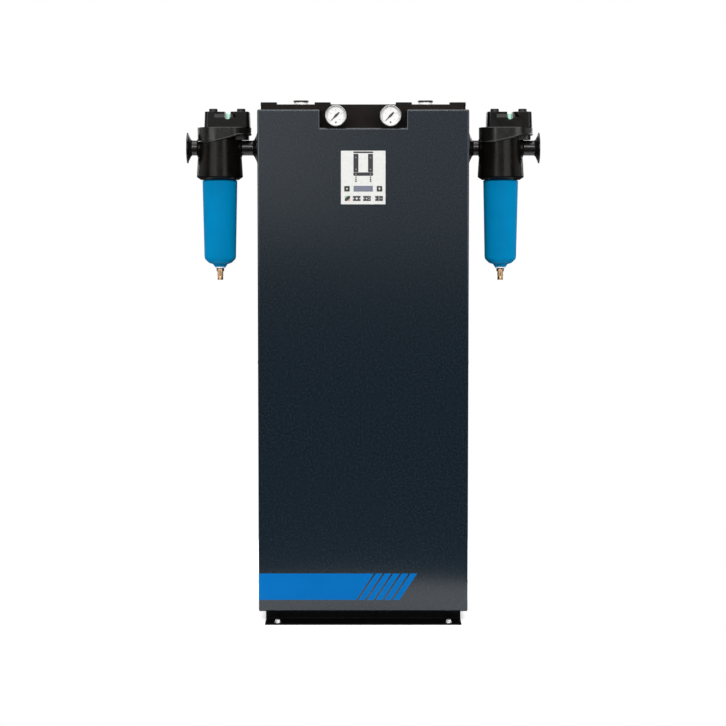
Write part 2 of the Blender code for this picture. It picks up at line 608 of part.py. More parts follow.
def filter_head(name, axis):
    """The filter's head: a flared barrel, a deck that overhangs to +X, and a port each side."""
    barrel = [
        (0, DECK_TOP - 0.004), (0.0485, DECK_TOP - 0.004), (0.0500, DECK_STEP), (0.0509, -0.0230),
        (0.0525, -0.0619), (0.0420, HEAD_BOTTOM), (HEAD_BORE, HEAD_BOTTOM), (HEAD_BORE, HEAD_BORE_TOP),
        (0, HEAD_BORE_TOP),
    ]
    head = add_turned(f"{name}_head", barrel, LARGE_ROUND, "black_casting", parent=axis)
    deck = rounded_rectangle(DECK_HALF, DECK_HALF_DEPTH, DECK_CORNER, 6, DECK_CENTRE)
    join(head, prism, deck, DECK_UNDERSIDE, DECK_TOP)
    shelf = rounded_rectangle(SHELF_HALF, SHELF_HALF_DEPTH, SHELF_CORNER, 4, SHELF_CENTRE)
    join(head, prism, shelf, DECK_STEP, DECK_UNDERSIDE + 0.002)
    join(head, rods, ROUND, ((-HEAD_BOSS_FACE, 0, 0), (HEAD_BOSS_FACE, 0, 0), HEAD_BOSS))
    outside = HEAD_BOSS_FACE + DEEP
    cut(head, rods, ROUND,
        ((-outside, 0, 0), (HEAD_INTAKE, 0, 0), NIPPLE_BORE),
        ((HEAD_OUTLET_X - HEAD_OUTLET, 0, 0), (outside, 0, 0), NIPPLE_BORE))
    under = HEAD_BORE_TOP - DEEP
    bores = [
        ((0, 0, under), (0, 0, 0), HEAD_INTAKE),
        ((HEAD_OUTLET_X, 0, under), (HEAD_OUTLET_X, 0, 0), HEAD_OUTLET),
    ]
    low, high = CAP_TOP - CAP_SCREW_LENGTH - 2 * LOOSE, DECK_TOP + DEEP
    bores += [((x, 0, low), (x, 0, high), CAP_SCREW_HOLE) for x in cap_screw_xs()]
    cut(head, rods, SMALL_ROUND, *bores)


def filter_cap(name, axis):
    """The block on the deck that holds the differential-pressure indicator in an open notch."""
    outline = rounded_rectangle(CAP_HALF, CAP_HALF_DEPTH, CAP_CORNER, 4, CAP_CENTRE)
    low, floor = DECK_TOP + GAP, CAP_TOP - CAP_NOTCH_DEPTH
    mesh = mesh_of("filter_cap", prism, outline, low, CAP_TOP)
    cap = add(f"{name}_cap", mesh, "black_casting", parent=axis)
    cut(cap, boxes, (
        (CAP_NOTCH_X - CAP_NOTCH_HALF, -CAP_HALF_DEPTH - DEEP, floor),
        (CAP_NOTCH_X + CAP_NOTCH_HALF, CAP_HALF_DEPTH + DEEP, CAP_TOP + DEEP),
    ))
    seat, under, over = INDICATOR_SEAT - GAP, low - DEEP, CAP_TOP + DEEP
    holes = [((CAP_NOTCH_X, 0, seat), (CAP_NOTCH_X, 0, over), INDICATOR_RADIUS + LOOSE)]
    holes += [((x, 0, under), (x, 0, over), CAP_SCREW_HOLE) for x in cap_screw_xs()]
    cut(cap, rods, SMALL_ROUND, *holes)


def cap_screw(name, number, x, axis):
    """A socket-head screw that holds the cap on the head."""
    top, socket, chamfer = CAP_SCREW_HEAD, CAP_SCREW_SOCKET, 0.0008
    profile = [
        (0, top - socket), (socket, top - socket), (socket, top), (CAP_SCREW_RADIUS - chamfer, top),
        (CAP_SCREW_RADIUS, top - chamfer), (CAP_SCREW_RADIUS, GAP), (CAP_SCREW_SHANK, GAP),
        (CAP_SCREW_SHANK, -CAP_SCREW_LENGTH), (0, -CAP_SCREW_LENGTH),
    ]
    add_turned(f"{name}_cap_screw_{number}", profile, SMALL_ROUND, "black_steel",
               at=(x, 0, CAP_TOP), parent=axis)


def indicator(name, axis):
    """The green pin that rises when the element is blocked."""
    length, chamfer = INDICATOR_TOP - INDICATOR_SEAT, 0.002
    profile = [
        (0, length), (INDICATOR_RADIUS - chamfer, length), (INDICATOR_RADIUS, length - chamfer),
        (INDICATOR_RADIUS, 0), (0, 0),
    ]
    add_turned(f"{name}_indicator", profile, SMALL_ROUND, "indicator_green",
               at=(CAP_NOTCH_X, 0, INDICATOR_SEAT), parent=axis)


def bowl_dome(radius, rise, lip, steps):
    """Points down a quarter ellipse, from the bowl's straight side in to the given radius."""
    last = math.acos(lip / radius)
    angles = [last * step / steps for step in range(steps + 1)]
    return [(radius * math.cos(a), BOWL_FOOT - rise * math.sin(a)) for a in angles]


def filter_bowl(name, axis):
    """The blue bowl: a cup with a narrower neck inside the head, and a hole for the drain."""
    bore = DRAIN_BORE + GAP
    profile = [(BOWL_NECK, BOWL_NECK_TOP), (BOWL_NECK, BOWL_TOP), (BOWL_RIM, BOWL_TOP)]
    profile += bowl_dome(BOWL_FOOT_RADIUS, BOWL_DOME, BOWL_BOSS_RADIUS, 5)
    profile += [(BOWL_END_RADIUS, BOWL_END), (bore, BOWL_END)]
    profile += reversed(bowl_dome(BOWL_FOOT_RADIUS - BOWL_WALL, BOWL_DOME - BOWL_WALL, bore, 3))
    profile.append((BOWL_NECK - BOWL_WALL, BOWL_NECK_TOP))
    add_turned(f"{name}_bowl", profile, LARGE_ROUND, "bowl_blue", parent=axis)


def filter_drain(name, axis):
    """The drain valve: a shank inside the bowl's boss, a collar and a round stem with a bore."""
    collar_top, step = BOWL_END - GAP, 0.0015
    profile = [
        (DRAIN_HOLE, DRAIN_TOP), (DRAIN_BORE, DRAIN_TOP), (DRAIN_BORE, collar_top),
        (DRAIN_COLLAR, collar_top), (DRAIN_COLLAR, DRAIN_COLLAR_END), (DRAIN_STEM, DRAIN_COLLAR_END - step),
        (DRAIN_STEM, DRAIN_END), (DRAIN_HOLE, DRAIN_END),
    ]
    add_turned(f"{name}_drain", profile, SMALL_ROUND, "brass", parent=axis)


def filter_element(name, axis):
    """The cartridge that hangs from the head inside the bowl."""
    floor = ELEMENT_BOTTOM + 0.004
    profile = [
        (ELEMENT_BORE, ELEMENT_TOP), (ELEMENT_RADIUS, ELEMENT_TOP), (ELEMENT_RADIUS, ELEMENT_BOTTOM),
        (0, ELEMENT_BOTTOM), (0, floor), (ELEMENT_BORE, floor),
    ]
    add_turned(f"{name}_element", profile, ROUND, "filter_media", parent=axis)


def pipe_flange(name, side, face, axis):
    """A pipe nipple that ends in a flange disc with a cone behind it."""
    start = HEAD_BOSS_FACE + GAP
    length = abs(face) - start
    rim = length - FLANGE_RIM
    cone = rim - FLANGE_CONE
    profile = [
        (NIPPLE_BORE, length), (FLANGE_RADIUS, length), (FLANGE_RADIUS, rim),
        (NIPPLE_RADIUS + 0.001, cone), (NIPPLE_RADIUS, cone), (NIPPLE_RADIUS, 0), (NIPPLE_BORE, 0),
    ]
    add_turned(name, profile, LARGE_ROUND, "black_casting",
               at=(side * start, 0, 0), turn=(0, side * QUARTER, 0), parent=axis)


def line_filter(name, x):
    """One complete filter. Air comes in at its short flange and leaves at its long one."""
    axis = add_empty(f"{name}_axis", (x, 0, PORT_Z))
    filter_head(name, axis)
    filter_cap(name, axis)
    for number, screw_x in enumerate(cap_screw_xs(), start=1):
        cap_screw(name, number, screw_x, axis)
    indicator(name, axis)
    filter_bowl(name, axis)
    filter_drain(name, axis)
    filter_element(name, axis)
    pipe_flange(f"{name}_flange_in", LEFT, SHORT_FACE, axis)
    pipe_flange(f"{name}_flange_out", RIGHT, LONG_FACE, axis)


def main():
    clear_scene()
    base_tray()
    front_cover()
    rear_cover()
    power_gland()
    bottom_manifold()
    top_manifold()
    transfer_tube()
    inlet_shuttle()
    control_overlay()
    key_row_piece("display_window", 0, DISPLAY_SIZE, 0, "display_grey")
    controller_box()
    for name, side in SIDES:
        side_panel(f"side_panel_{name}", side)
        tower(f"tower_{name}", side)
        desiccant_bed(f"desiccant_bed_{name}", side)
        fill_port(name, side)
        outlet_check(name, side)
        purge_valve(name, side)
        silencer(name, side)
        gauge(name, side)
        key_row_piece(f"button_{name}", side * KEY_X, (KEY_SIZE, KEY_SIZE), KEY_PROUD, "black_plastic")
        line_filter(f"filter_{name}", FILTER_X[name])


main()
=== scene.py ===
"""Looks for a twin-tower desiccant air dryer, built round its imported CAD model.

Metres, in the CAD model's own frame: X is the width, the front faces -Y, Z is up from the floor.
"""

import math

import bmesh
import bpy
from mathutils import Matrix, Vector


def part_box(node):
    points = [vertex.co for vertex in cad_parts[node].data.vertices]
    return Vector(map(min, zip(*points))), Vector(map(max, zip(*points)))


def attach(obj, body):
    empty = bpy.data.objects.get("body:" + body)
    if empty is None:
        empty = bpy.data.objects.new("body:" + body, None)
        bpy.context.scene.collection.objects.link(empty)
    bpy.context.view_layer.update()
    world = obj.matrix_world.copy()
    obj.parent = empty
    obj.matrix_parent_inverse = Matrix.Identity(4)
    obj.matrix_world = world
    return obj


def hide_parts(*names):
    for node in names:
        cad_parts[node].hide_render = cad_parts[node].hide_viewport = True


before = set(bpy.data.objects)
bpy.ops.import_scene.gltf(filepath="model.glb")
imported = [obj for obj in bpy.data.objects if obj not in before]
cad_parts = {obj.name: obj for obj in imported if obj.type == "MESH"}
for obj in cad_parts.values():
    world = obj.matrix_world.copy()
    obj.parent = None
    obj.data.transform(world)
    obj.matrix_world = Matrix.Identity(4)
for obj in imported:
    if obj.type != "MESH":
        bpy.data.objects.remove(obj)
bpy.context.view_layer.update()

LEFT, RIGHT = -1, 1
FRONT, REAR = -1, 1
SIDES = (("left", LEFT), ("right", RIGHT))
QUARTER = math.radians(90)
SECTION_ALONG_X = Matrix(((0, 0, 1, 0), (1, 0, 0, 0), (0, 1, 0, 0), (0, 0, 0, 1)))  # stands a Y-Z section up
TINY = 1e-6
CABINET = "cabinet"     # the body that everything fixed rides on

# Sheet metal
SHEET = 0.002
FOLD = 0.0036           # outside radius of a fold
COVER_RETURN = 0.025
NOTCH_HALF, NOTCH_BOTTOM = 0.0965, 1.1153
SCREW_HEIGHTS = (0.090, 0.590, 1.080)

# Base tray
TRAY_SHEET, TRAY_BEND, TRAY_SKIRT = 0.003, 0.005, 0.130
ANCHORS = [(x, y) for x in (-0.193, 0.193) for y in (-0.176, 0.176)]
ANCHOR_HOLE = 0.0055

# Stripe on the front cover
STRIPE_BOTTOM, STRIPE_TOP, STRIPE_SHEET = 0.0498, 0.1103, 0.00012
STRIPE_LEAN = 0.0400    # how far the slanted ends lean, from the stripe's bottom to its top
STRIPE_END, BAR_COUNT, BAR_PERIOD, BAR_GAP = 0.0243, 5, 0.0196, 0.0045

# Control label, measured down from its top edge and out from its middle
PRINT = 0.00008
COLUMN_X, COLUMN_WIDTH, COLUMN_DROP, COLUMN_HEIGHT = 0.0163, 0.0112, 0.0070, 0.0407
MIMIC_HALF, HEADER_DROP, HEADER_HEIGHT = 0.0222, 0.0017, 0.0036
FOOTER_DROP, FOOTER_HEIGHT = 0.0482, 0.0077
LAMP_DROPS, LAMP_RADIUS = (0.0151, 0.0414, 0.0523), 0.0016
ARROW_DROP, ARROW_STEP, ARROW_STEM = 0.0585, 0.0042, 0.0006
ICON_DROP, ICON_HEIGHT, ICON_HALF = 0.1064, 0.0112, 0.0087
ICON_XS = (-0.0146, 0.0083, 0.0353)
STATUS_X, STATUS_HALF = -0.0353, 0.0060
SIGN_RISE, SIGN_DEPTH, SIGN_MARGIN, SIGN_OFFSET = 0.0025, 0.0030, 0.0005, 0.0045
LABEL_ROOM = 0.00025    # the gap round each key and the display

# Gauges. The scale's marks reach inwards from a thin band. STEM_Y is the manifold's front face
GAUGE_X, GAUGE_Z, STEM_Y = 0.061, 1.1424, -0.105
SCALE_INNER, SCALE_OUTER, NUMBER_RADIUS, NUMBER_SIZE = 0.0186, 0.0189, 0.0128, 0.0046
SCALE_STEPS, SCALE_TOP = 40, 16
DIAL_START, DIAL_SWEEP = math.radians(225), math.radians(270)

# Top manifold
MANIFOLD_HALF_X, MANIFOLD_TOP = 0.231, 1.1692
PORT_Z, PORT_BOSS, PORT_ROOT, PORT_FACE = 1.0734, 0.028, 0.226, 0.2405
PORT_BORE = 0.0135
PAD_HALF_X, PAD_HALF_Y, PAD_XS = 0.018, 0.020, (0.0915, 0.213)

# Filters: X from the bowl's axis, Z from the port's axis
FILTER_X = {"left": -0.3300, "right": 0.3165}
CAP_SCREW_XS = (-0.0145, 0.0495)
NOTCH_X = 0.0197
CAP_X, CAP_BOTTOM, CAP_TOP = 0.0182, 0.0472, 0.0824

# Floor, light and camera
FLOOR_RADIUS, FLOOR_Y = 0.90, 0.20
WORLD_LIGHT = 0.07      # the backdrop is white, but lights the object only this much
CAMERA_PLACE, CAMERA_DOWN, FOCAL_LENGTH = (-0.0005, -5.150, 0.970), math.radians(4.36), 110.5


# ---------------------------------------------------------------- mesh tools

def linked(name, data):
    """An object in the scene."""
    thing = bpy.data.objects.new(name, data)
    bpy.context.scene.collection.objects.link(thing)
    return thing


def evaluated(thing):
    """The mesh that an object's modifiers or text make. The object itself is removed."""
    scene_graph = bpy.context.evaluated_depsgraph_get()
    mesh = bpy.data.meshes.new_from_object(thing.evaluated_get(scene_graph))
    bpy.data.objects.remove(thing)
    return mesh


def mesh_of(build, *details, **options):
    """A mesh made by build(bm, *details), with its faces pointing out."""
    bm = bmesh.new()
    build(bm, *details, **options)
    bmesh.ops.recalc_face_normals(bm, faces=bm.faces)
    mesh = bpy.data.meshes.new("mesh")
    bm.to_mesh(mesh)
    bm.free()
    return mesh


def piece(name, mesh, slot, material=None, body=CABINET, replaces=(), sheet=0.0, edge=0.0, angle=50):
    """A finished piece of the object: it rides on a body and may stand for CAD nodes.

    Its material is the slot's own unless another is given. A sheet is a surface that gets a
    thickness. An edge is a small radius on every hard edge.
    """
    mesh.name = name
    thing = linked(name, mesh)
    mesh.materials.clear()
    mesh.materials.append(material or MATERIALS[slot])
    mesh.shade_smooth()
    mesh.set_sharp_from_angle(angle=math.radians(35))
    if sheet:
        solid = thing.modifiers.new("Sheet", "SOLIDIFY")
        solid.thickness = sheet
        solid.offset = -1
    if edge:
        bevel = thing.modifiers.new("Edges", "BEVEL")
        bevel.width = edge
        bevel.segments = 2
        bevel.limit_method = "ANGLE"
        bevel.angle_limit = math.radians(angle)
    flat = thing.modifiers.new("Flat faces", "WEIGHTED_NORMAL")
    flat.keep_sharp = True
    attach(thing, body)
    if replaces:
        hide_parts(*replaces)
    return thing


def carve(mesh, build, *details, operation="DIFFERENCE"):
    """A mesh with the shape that build makes cut from it, or joined to it."""
    block = linked("carved", mesh)
    tool = linked("tool", mesh_of(build, *details))
    modifier = block.modifiers.new("Carve", "BOOLEAN")
    modifier.operation = operation
    modifier.solver = "EXACT"
    modifier.object = tool
    result = evaluated(block)
    bpy.data.objects.remove(tool)
    return result


def rounded(points, closed=False, steps=4):
    """A path through (a, b, radius) points, with an arc at each corner whose radius isn't 0."""
    path = []
    last = len(points) - 1
    for index, (a, b, radius) in enumerate(points):
        here = Vector((a, b))
        if radius == 0 or (not closed and index in (0, last)):
            path.append((a, b))
            continue
        before = (Vector(points[index - 1][:2]) - here).normalized()
        after = (Vector(points[(index + 1) % len(points)][:2]) - here).normalized()
        half = before.angle(after) / 2
        centre = here + (before + after).normalized() * radius / math.sin(half)
        start = here + before * radius / math.tan(half) - centre
        end = here + after * radius / math.tan(half) - centre
        first = math.atan2(start.y, start.x)
        sweep = (math.atan2(end.y, end.x) - first + math.pi) % math.tau - math.pi
        for step in range(steps + 1):
            angle = first + sweep * step / steps
            path.append((centre.x + radius * math.cos(angle), centre.y + radius * math.sin(angle)))
    return path


def rectangle(half_a, half_b, radius, centre=(0, 0), steps=6):
    a, b = centre
    corners = ((half_a, half_b), (-half_a, half_b), (-half_a, -half_b), (half_a, -half_b))
    return rounded([(a + x, b + y, radius) for x, y in corners], closed=True, steps=steps)


def circle(radius, sides, centre=(0, 0), start=0.0):
    angles = [start + math.tau * step / sides for step in range(sides)]
    return [(centre[0] + radius * math.cos(a), centre[1] + radius * math.sin(a)) for a in angles]


def arc(radius, start, end, steps, centre=(0, 0)):
    angles = [start + (end - start) * step / steps for step in range(steps + 1)]
    return [(centre[0] + radius * math.cos(a), centre[1] + radius * math.sin(a)) for a in angles]


def face_through(bm, corners):
    bm.faces.new([bm.verts.new(corner) for corner in corners])


def join_loops(bm, low, high):
    count = len(low)
    for index in range(count):
        after = (index + 1) % count
        bm.faces.new((low[index], low[after], high[after], high[index]))


def loft(bm, loops, place=Matrix(), capped=True):
    """A skin over loops of points, each with the same number of points."""
    rings = [[bm.verts.new(place @ Vector(point)) for point in loop] for loop in loops]
    for low, high in zip(rings, rings[1:]):
        join_loops(bm, low, high)
    if capped:
        bm.faces.new(rings[0])
        bm.faces.new(rings[-1])


def stack(levels):
    """Loops for a loft, from (outline, height) pairs."""
    return [[(x, y, z) for x, y in outline] for outline, z in levels]


def prism(bm, outline, low, high, place=Matrix(), edge=0.0):
    """An outline in X and Y between two heights. Its edges may be cut back by a small chamfer."""
    if edge == 0:
        loft(bm, stack(((outline, low), (outline, high))), place)
        return
    middle = sum((Vector(point) for point in outline), Vector((0, 0))) / len(outline)
    inner = []
    for x, y in outline:
        out = Vector((x, y)) - middle
        shorter = middle + out * (1 - edge / out.length)
        inner.append((shorter.x, shorter.y))
    levels = ((inner, low), (outline, low + edge), (outline, high - edge), (inner, high))
    loft(bm, stack(levels), place)


def lathe(bm, profile, sides, place=Matrix(), closed=False, rib=0.0):
    """A profile of (radius, height) points turned about Z. Ribs cut back every other side."""
    rings = []
    for radius, height in profile:
        count = sides if radius > TINY else 1
        ring = []
        for index in range(count):
            turn = math.tau * index / sides
            reach = radius - rib * (index % 2)
            point = Vector((reach * math.cos(turn), reach * math.sin(turn), height))
            ring.append(bm.verts.new(place @ point))
        rings.append(ring)
    if closed:
        rings.append(rings[0])
    for low, high in zip(rings, rings[1:]):
        for index in range(sides):
            after = index + 1
            corners = [
                low[index % len(low)], low[after % len(low)],
                high[after % len(high)], high[index % len(high)],
            ]
            unique = list(dict.fromkeys(corners))
            if len(unique) > 2:
                bm.faces.new(unique)


def part(build, *details, **options):
    """One of several closed shapes that share a mesh."""
    return build, details, options


def several(bm, *parts):
    for build, details, options in parts:
        build(bm, *details, **options)


def joined(parts):
    return mesh_of(several, *parts)


def ink(outline, place):
    """A thin layer of print on the surface that a place faces out from."""
    return part(prism, outline, 0, PRINT, place)


def rod(bm, start, end, radius, sides):
    start, end = Vector(start), Vector(end)
    turn = (end - start).to_track_quat("Z", "Y").to_matrix().to_4x4()
    lathe(bm, [(0, 0), (radius, 0), (radius, (end - start).length), (0, (end - start).length)], sides,
          Matrix.Translation(start) @ turn)


def facing_front(x, y, z):
    """A frame whose X runs right, whose Y runs up and whose Z points at the viewer in front."""
    return Matrix.Translation((x, y, z)) @ Matrix.Rotation(QUARTER, 4, "X")


def along_x(x, y, z, side):
    """A frame whose Z points to one side."""
    return Matrix.Translation((x, y, z)) @ Matrix.Rotation(side * QUARTER, 4, "Y")


def standing(x, y, z):
    """A frame whose Z points up."""
    return Matrix.Translation((x, y, z))


def middle(node):
    """The centre of a node's box."""
    return [(a + b) / 2 for a, b in zip(*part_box(node))]


def half_size(node):
    """Half of a node's width, depth and height."""
    return [(b - a) / 2 for a, b in zip(*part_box(node))]


# ---------------------------------------------------------------- materials

class Finish:
    """A node material built round one Principled BSDF."""

    def __init__(self, name, colour, roughness, metallic=0.0, specular=0.5):
        self.material = bpy.data.materials.new(name)
        self.material.use_nodes = True
        self.nodes = self.material.node_tree.nodes
        self.links = self.material.node_tree.links
        self.shader = self.nodes["Principled BSDF"]
        self.colour = colour
        self.set("Base Color", (*colour, 1))
        self.set("Roughness", roughness)
        self.set("Metallic", metallic)
        self.set("Specular IOR Level", specular)
        self.place = self.nodes.new("ShaderNodeTexCoord").outputs["Object"]
        self.normal = None

    def set(self, socket, value):
        self.shader.inputs[socket].default_value = value

    def node(self, kind, values, **settings):
        """A new node with values in its sockets."""
        made = self.nodes.new(kind)
        for name, value in settings.items():
            setattr(made, name, value)
        for name, value in values.items():
            made.inputs[name].default_value = value
        return made

    def stretched(self, scale):
        """The surface's place, scaled differently along each axis."""
        mapping = self.node("ShaderNodeMapping", {"Scale": scale})
        self.links.new(self.place, mapping.inputs["Vector"])
        return mapping.outputs["Vector"]

    def noise(self, scale, detail=3.0, stretch=None):
        texture = self.node("ShaderNodeTexNoise", {"Scale": scale, "Detail": detail})
        place = self.stretched(stretch) if stretch else self.place
        self.links.new(place, texture.inputs["Vector"])
        return texture.outputs["Fac"]

    def cells(self, scale, feature="F1"):
        texture = self.node("ShaderNodeTexVoronoi", {"Scale": scale}, feature=feature)
        self.links.new(self.place, texture.inputs["Vector"])
        return texture.outputs["Distance"]

    def ramp(self, fac, stops):
        """Colours or greys along a factor, as (position, colour) stops."""
        ramp = self.node("ShaderNodeValToRGB", {})
        elements = ramp.color_ramp.elements
        while len(elements) < len(stops):
            elements.new(0.5)
        for element, (position, colour) in zip(elements, stops):
            element.position = position
            element.color = (*colour, 1)
        self.links.new(fac, ramp.inputs["Fac"])
        return ramp.outputs["Color"]

    def tint(self, fac, darker, lighter, low=0.3, high=0.7):
        """The base colour, times a factor that varies over the surface."""
        stops = ((low, darker), (high, lighter))
        colours = [(at, tuple(channel * times for channel in self.colour)) for at, times in stops]
        self.links.new(self.ramp(fac, colours), self.shader.inputs["Base Color"])

    def rough(self, fac, low, high):
        """The roughness, between two values over most of the factor's range."""
        scale = self.node("ShaderNodeMapRange", {
            "From Min": 0.3, "From Max": 0.7, "To Min": low, "To Max": high,
        })
        self.links.new(fac, scale.inputs["Value"])
        self.links.new(scale.outputs["Result"], self.shader.inputs["Roughness"])

    def bump(self, fac, depth, strength=1.0):
        """Relief of a given depth in metres, added to the relief there is already."""
        bump = self.node("ShaderNodeBump", {"Strength": strength, "Distance": depth})
        self.links.new(fac, bump.inputs["Height"])
        if self.normal:
            self.links.new(self.normal, bump.inputs["Normal"])
        self.normal = bump.outputs["Normal"]
        self.links.new(self.normal, self.shader.inputs["Normal"])


def powder_coat():
    """Fine-textured dark blue-grey powder coat, a little glossier where the texture is flat."""
    finish = Finish("blue_grey_powder_coat", (0.0046, 0.0100, 0.0158), 0.15, specular=0.55)
    finish.tint(finish.noise(260.0, 4.0), 0.45, 1.65, low=0.35, high=0.65)
    finish.rough(finish.noise(240.0, 3.0), 0.13, 0.18)
    finish.bump(finish.noise(1100.0, 2.0), 0.000020, 0.5)
    finish.bump(finish.noise(380.0, 2.0), 0.000030, 0.5)
    return finish.material


def gloss_paint(name, colour, roughness, specular, grain, orange_peel, chalk=0.0):
    """Smooth paint with a faint orange peel. Chalk spreads the light that its pigment scatters."""
    finish = Finish(name, colour, roughness, specular=specular)
    finish.set("Diffuse Roughness", chalk)
    finish.tint(finish.noise(18.0, 3.0), 0.95, 1.05)
    finish.rough(finish.noise(60.0, 3.0), roughness * 0.85, roughness * 1.2)
    finish.bump(finish.noise(grain, 2.0), orange_peel, 0.5)
    return finish.material


def cast_metal(name, colour, roughness, specular, grain, depth):
    """Painted casting: a pebbled skin, with slow changes of colour and gloss."""
    finish = Finish(name, colour, roughness, specular=specular)
    finish.tint(finish.noise(24.0, 5.0), 0.7, 1.35)
    finish.rough(finish.noise(70.0, 4.0), roughness * 0.8, roughness * 1.25)
    finish.bump(finish.cells(grain, "SMOOTH_F1"), depth, 0.8)
    finish.bump(finish.noise(grain * 2.3, 3.0), depth * 0.5, 0.6)
    return finish.material


def machined(name, colour, roughness, lines, stretch):
    """Bare metal with fine lines that a tool or a die left."""
    finish = Finish(name, colour, roughness, metallic=1.0)
    marks = finish.noise(lines, 3.0, stretch)
    finish.tint(marks, 0.82, 1.1)
    finish.rough(marks, roughness * 0.75, roughness * 1.3)
    finish.bump(marks, 0.00003, 0.5)
    return finish.material


def grains(name, colour, metallic, roughness, scale, depth):
    """Beads or sintered grains pressed together, with painted shade in the gaps between them."""
    finish = Finish(name, colour, roughness, metallic=metallic)
    cells = finish.cells(scale)
    # painted shade: darker towards each cell's edge, in the gaps between grains
    finish.tint(cells, 1.1, 0.55, low=0.1, high=0.9)
    finish.bump(cells, -depth)
    return finish.material


def moulded(name, colour, roughness, specular=0.5):
    """Moulded plastic with a fine spark-eroded texture."""
    finish = Finish(name, colour, roughness, specular=specular)
    finish.tint(finish.noise(35.0, 3.0), 0.88, 1.12)
    finish.rough(finish.noise(120.0, 3.0), roughness * 0.85, roughness * 1.15)
    finish.bump(finish.noise(1400.0, 2.0), 0.00002, 0.6)
    return finish.material


def printed(name, colour, roughness):
    """Ink or film: an even colour with a slight mottle."""
    finish = Finish(name, colour, roughness)
    finish.tint(finish.noise(140.0, 3.0), 0.95, 1.04)
    finish.bump(finish.noise(900.0, 2.0), 0.00001, 0.4)
    return finish.material


def clear_plastic():
    finish = Finish("clear_lens", (0.20, 0.21, 0.21), 0.03)
    finish.rough(finish.noise(40.0, 2.0), 0.02, 0.05)
    finish.set("Alpha", 0.05)
    return finish.material


def sight_glass():
    """Green indicator: bright in the middle of its top, deeper green round its side. Its emission paints a
    glow on it, though it is no lamp.
    """
    finish = Finish("indicator_green", (0.50, 0.82, 0.68), 0.12)
    finish.tint(finish.noise(220.0, 2.0), 0.85, 1.1)
    # painted glow: the pin is no lamp
    finish.set("Emission Color", (0.45, 0.82, 0.64, 1))
    finish.set("Emission Strength", 0.35)
    finish.set("Coat Weight", 0.6)
    return finish.material


def pleats():
    finish = Finish("filter_media", (0.80, 0.80, 0.77), 0.85)
    finish.tint(finish.noise(90.0, 4.0), 0.85, 1.05)
    finish.bump(finish.noise(700.0, 3.0), 0.0001)
    return finish.material


def display_film():
    """The display: grey-lavender, with a faint grid of character cells."""
    finish = Finish("display_grey", (0.175, 0.19, 0.25), 0.16, specular=0.3)
    grid = finish.node("ShaderNodeTexBrick", {
        "Scale": 1.0, "Brick Width": 0.0022, "Row Height": 0.0046, "Mortar Size": 0.00022,
        "Color1": (0.185, 0.200, 0.262, 1), "Color2": (0.175, 0.190, 0.248, 1),
        "Mortar": (0.150, 0.163, 0.210, 1),
    }, offset=0.0)
    turned = finish.node("ShaderNodeMapping", {"Rotation": (-QUARTER, 0, 0)})
    finish.links.new(finish.place, turned.inputs["Vector"])
    finish.links.new(turned.outputs["Vector"], grid.inputs["Vector"])
    finish.links.new(grid.outputs["Color"], finish.shader.inputs["Base Color"])
    finish.rough(finish.noise(200.0, 2.0), 0.12, 0.22)
    return finish.material


SLOT_FINISHES = (
    powder_coat(),
    cast_metal("black_steel", (0.0012, 0.0012, 0.0014), 0.34, 0.05, 800.0, 0.00003),
    cast_metal("black_casting", (0.0088, 0.0066, 0.0056), 0.40, 0.065, 420.0, 0.00010),
    machined("bare_aluminium", (0.62, 0.63, 0.64), 0.34, 40.0, (30, 30, 0.5)),
    grains("desiccant", (0.82, 0.80, 0.74), 0.0, 0.75, 260.0, 0.0015),
    machined("brass", (0.66, 0.42, 0.24), 0.38, 60.0, (2, 2, 40)),
    grains("sintered_bronze", (0.46, 0.30, 0.17), 1.0, 0.55, 900.0, 0.0005),
    moulded("black_plastic", (0.010, 0.010, 0.010), 0.42),
    moulded("white_nylon", (0.93, 0.93, 0.91), 0.45),
    printed("dial_white", (0.92, 0.91, 0.90), 0.50),
    clear_plastic(),
    printed("label_white", (0.655, 0.655, 0.635), 0.42),
    display_film(),
    gloss_paint("bowl_blue", (0.0002, 0.232, 0.480), 0.42, 0.02, 500.0, 0.00003, chalk=1.0),
    sight_glass(),
    pleats(),
)
MATERIALS = {made.name.split(".")[0]: made for made in SLOT_FINISHES}
STRIPE_BLUE = gloss_paint("stripe_blue", (0.0003, 0.106, 0.335), 0.34, 0.04, 1100.0, 0.00002)
HEAD_BLACK = cast_metal("head_black", (0.0040, 0.0033, 0.0028), 0.24, 0.115, 480.0, 0.00009)
# lighter, glossier copy of the head's paint for the deck of the same casting: painted light on the deck's
# front
DECK_BLACK_LIT = cast_metal("deck_black", (0.0060, 0.0056, 0.0050), 0.27, 0.32, 650.0, 0.00004)
CAP_BLACK = cast_metal("cap_black", (0.0034, 0.0028, 0.0025), 0.22, 0.17, 650.0, 0.00004)
PIPE_BLACK = gloss_paint("pipe_black", (0.0060, 0.0055, 0.0062), 0.22, 0.40, 900.0, 0.00002)
BEZEL_STEEL = machined("bezel_steel", (0.40, 0.40, 0.40), 0.28, 90.0, (1, 1, 1))
SCREW_STEEL = machined("screw_steel", (0.030, 0.030, 0.032), 0.35, 200.0, (1, 1, 6))
PLATED_STEEL = machined("plated_steel", (0.86, 0.86, 0.84), 0.38, 120.0, (1, 1, 4))
INK_DARK = printed("ink_dark", (0.012, 0.013, 0.016), 0.40)
INK_GREY = printed("ink_grey", (0.20, 0.20, 0.20), 0.5)
INK_SLATE = printed("ink_slate", (0.120, 0.130, 0.175), 0.4)
INK_LIGHT = printed("ink_light", (0.55, 0.56, 0.56), 0.45)
INK_GREEN = printed("ink_green", (0.22, 0.42, 0.28), 0.45)
INK_RED = printed("ink_red", (0.55, 0.30, 0.24), 0.45)


# ---------------------------------------------------------------- cabinet

def flat_cells(bm, xs, zs, y, skipped):
    """A flat sheet as a grid of cells, with some left out."""
    for column, (x0, x1) in enumerate(zip(xs, xs[1:])):
        for row, (z0, z1) in enumerate(zip(zs, zs[1:])):
            if (column, row) not in skipped:
                face_through(bm, ((x0, y, z0), (x1, y, z0), (x1, y, z1), (x0, y, z1)))


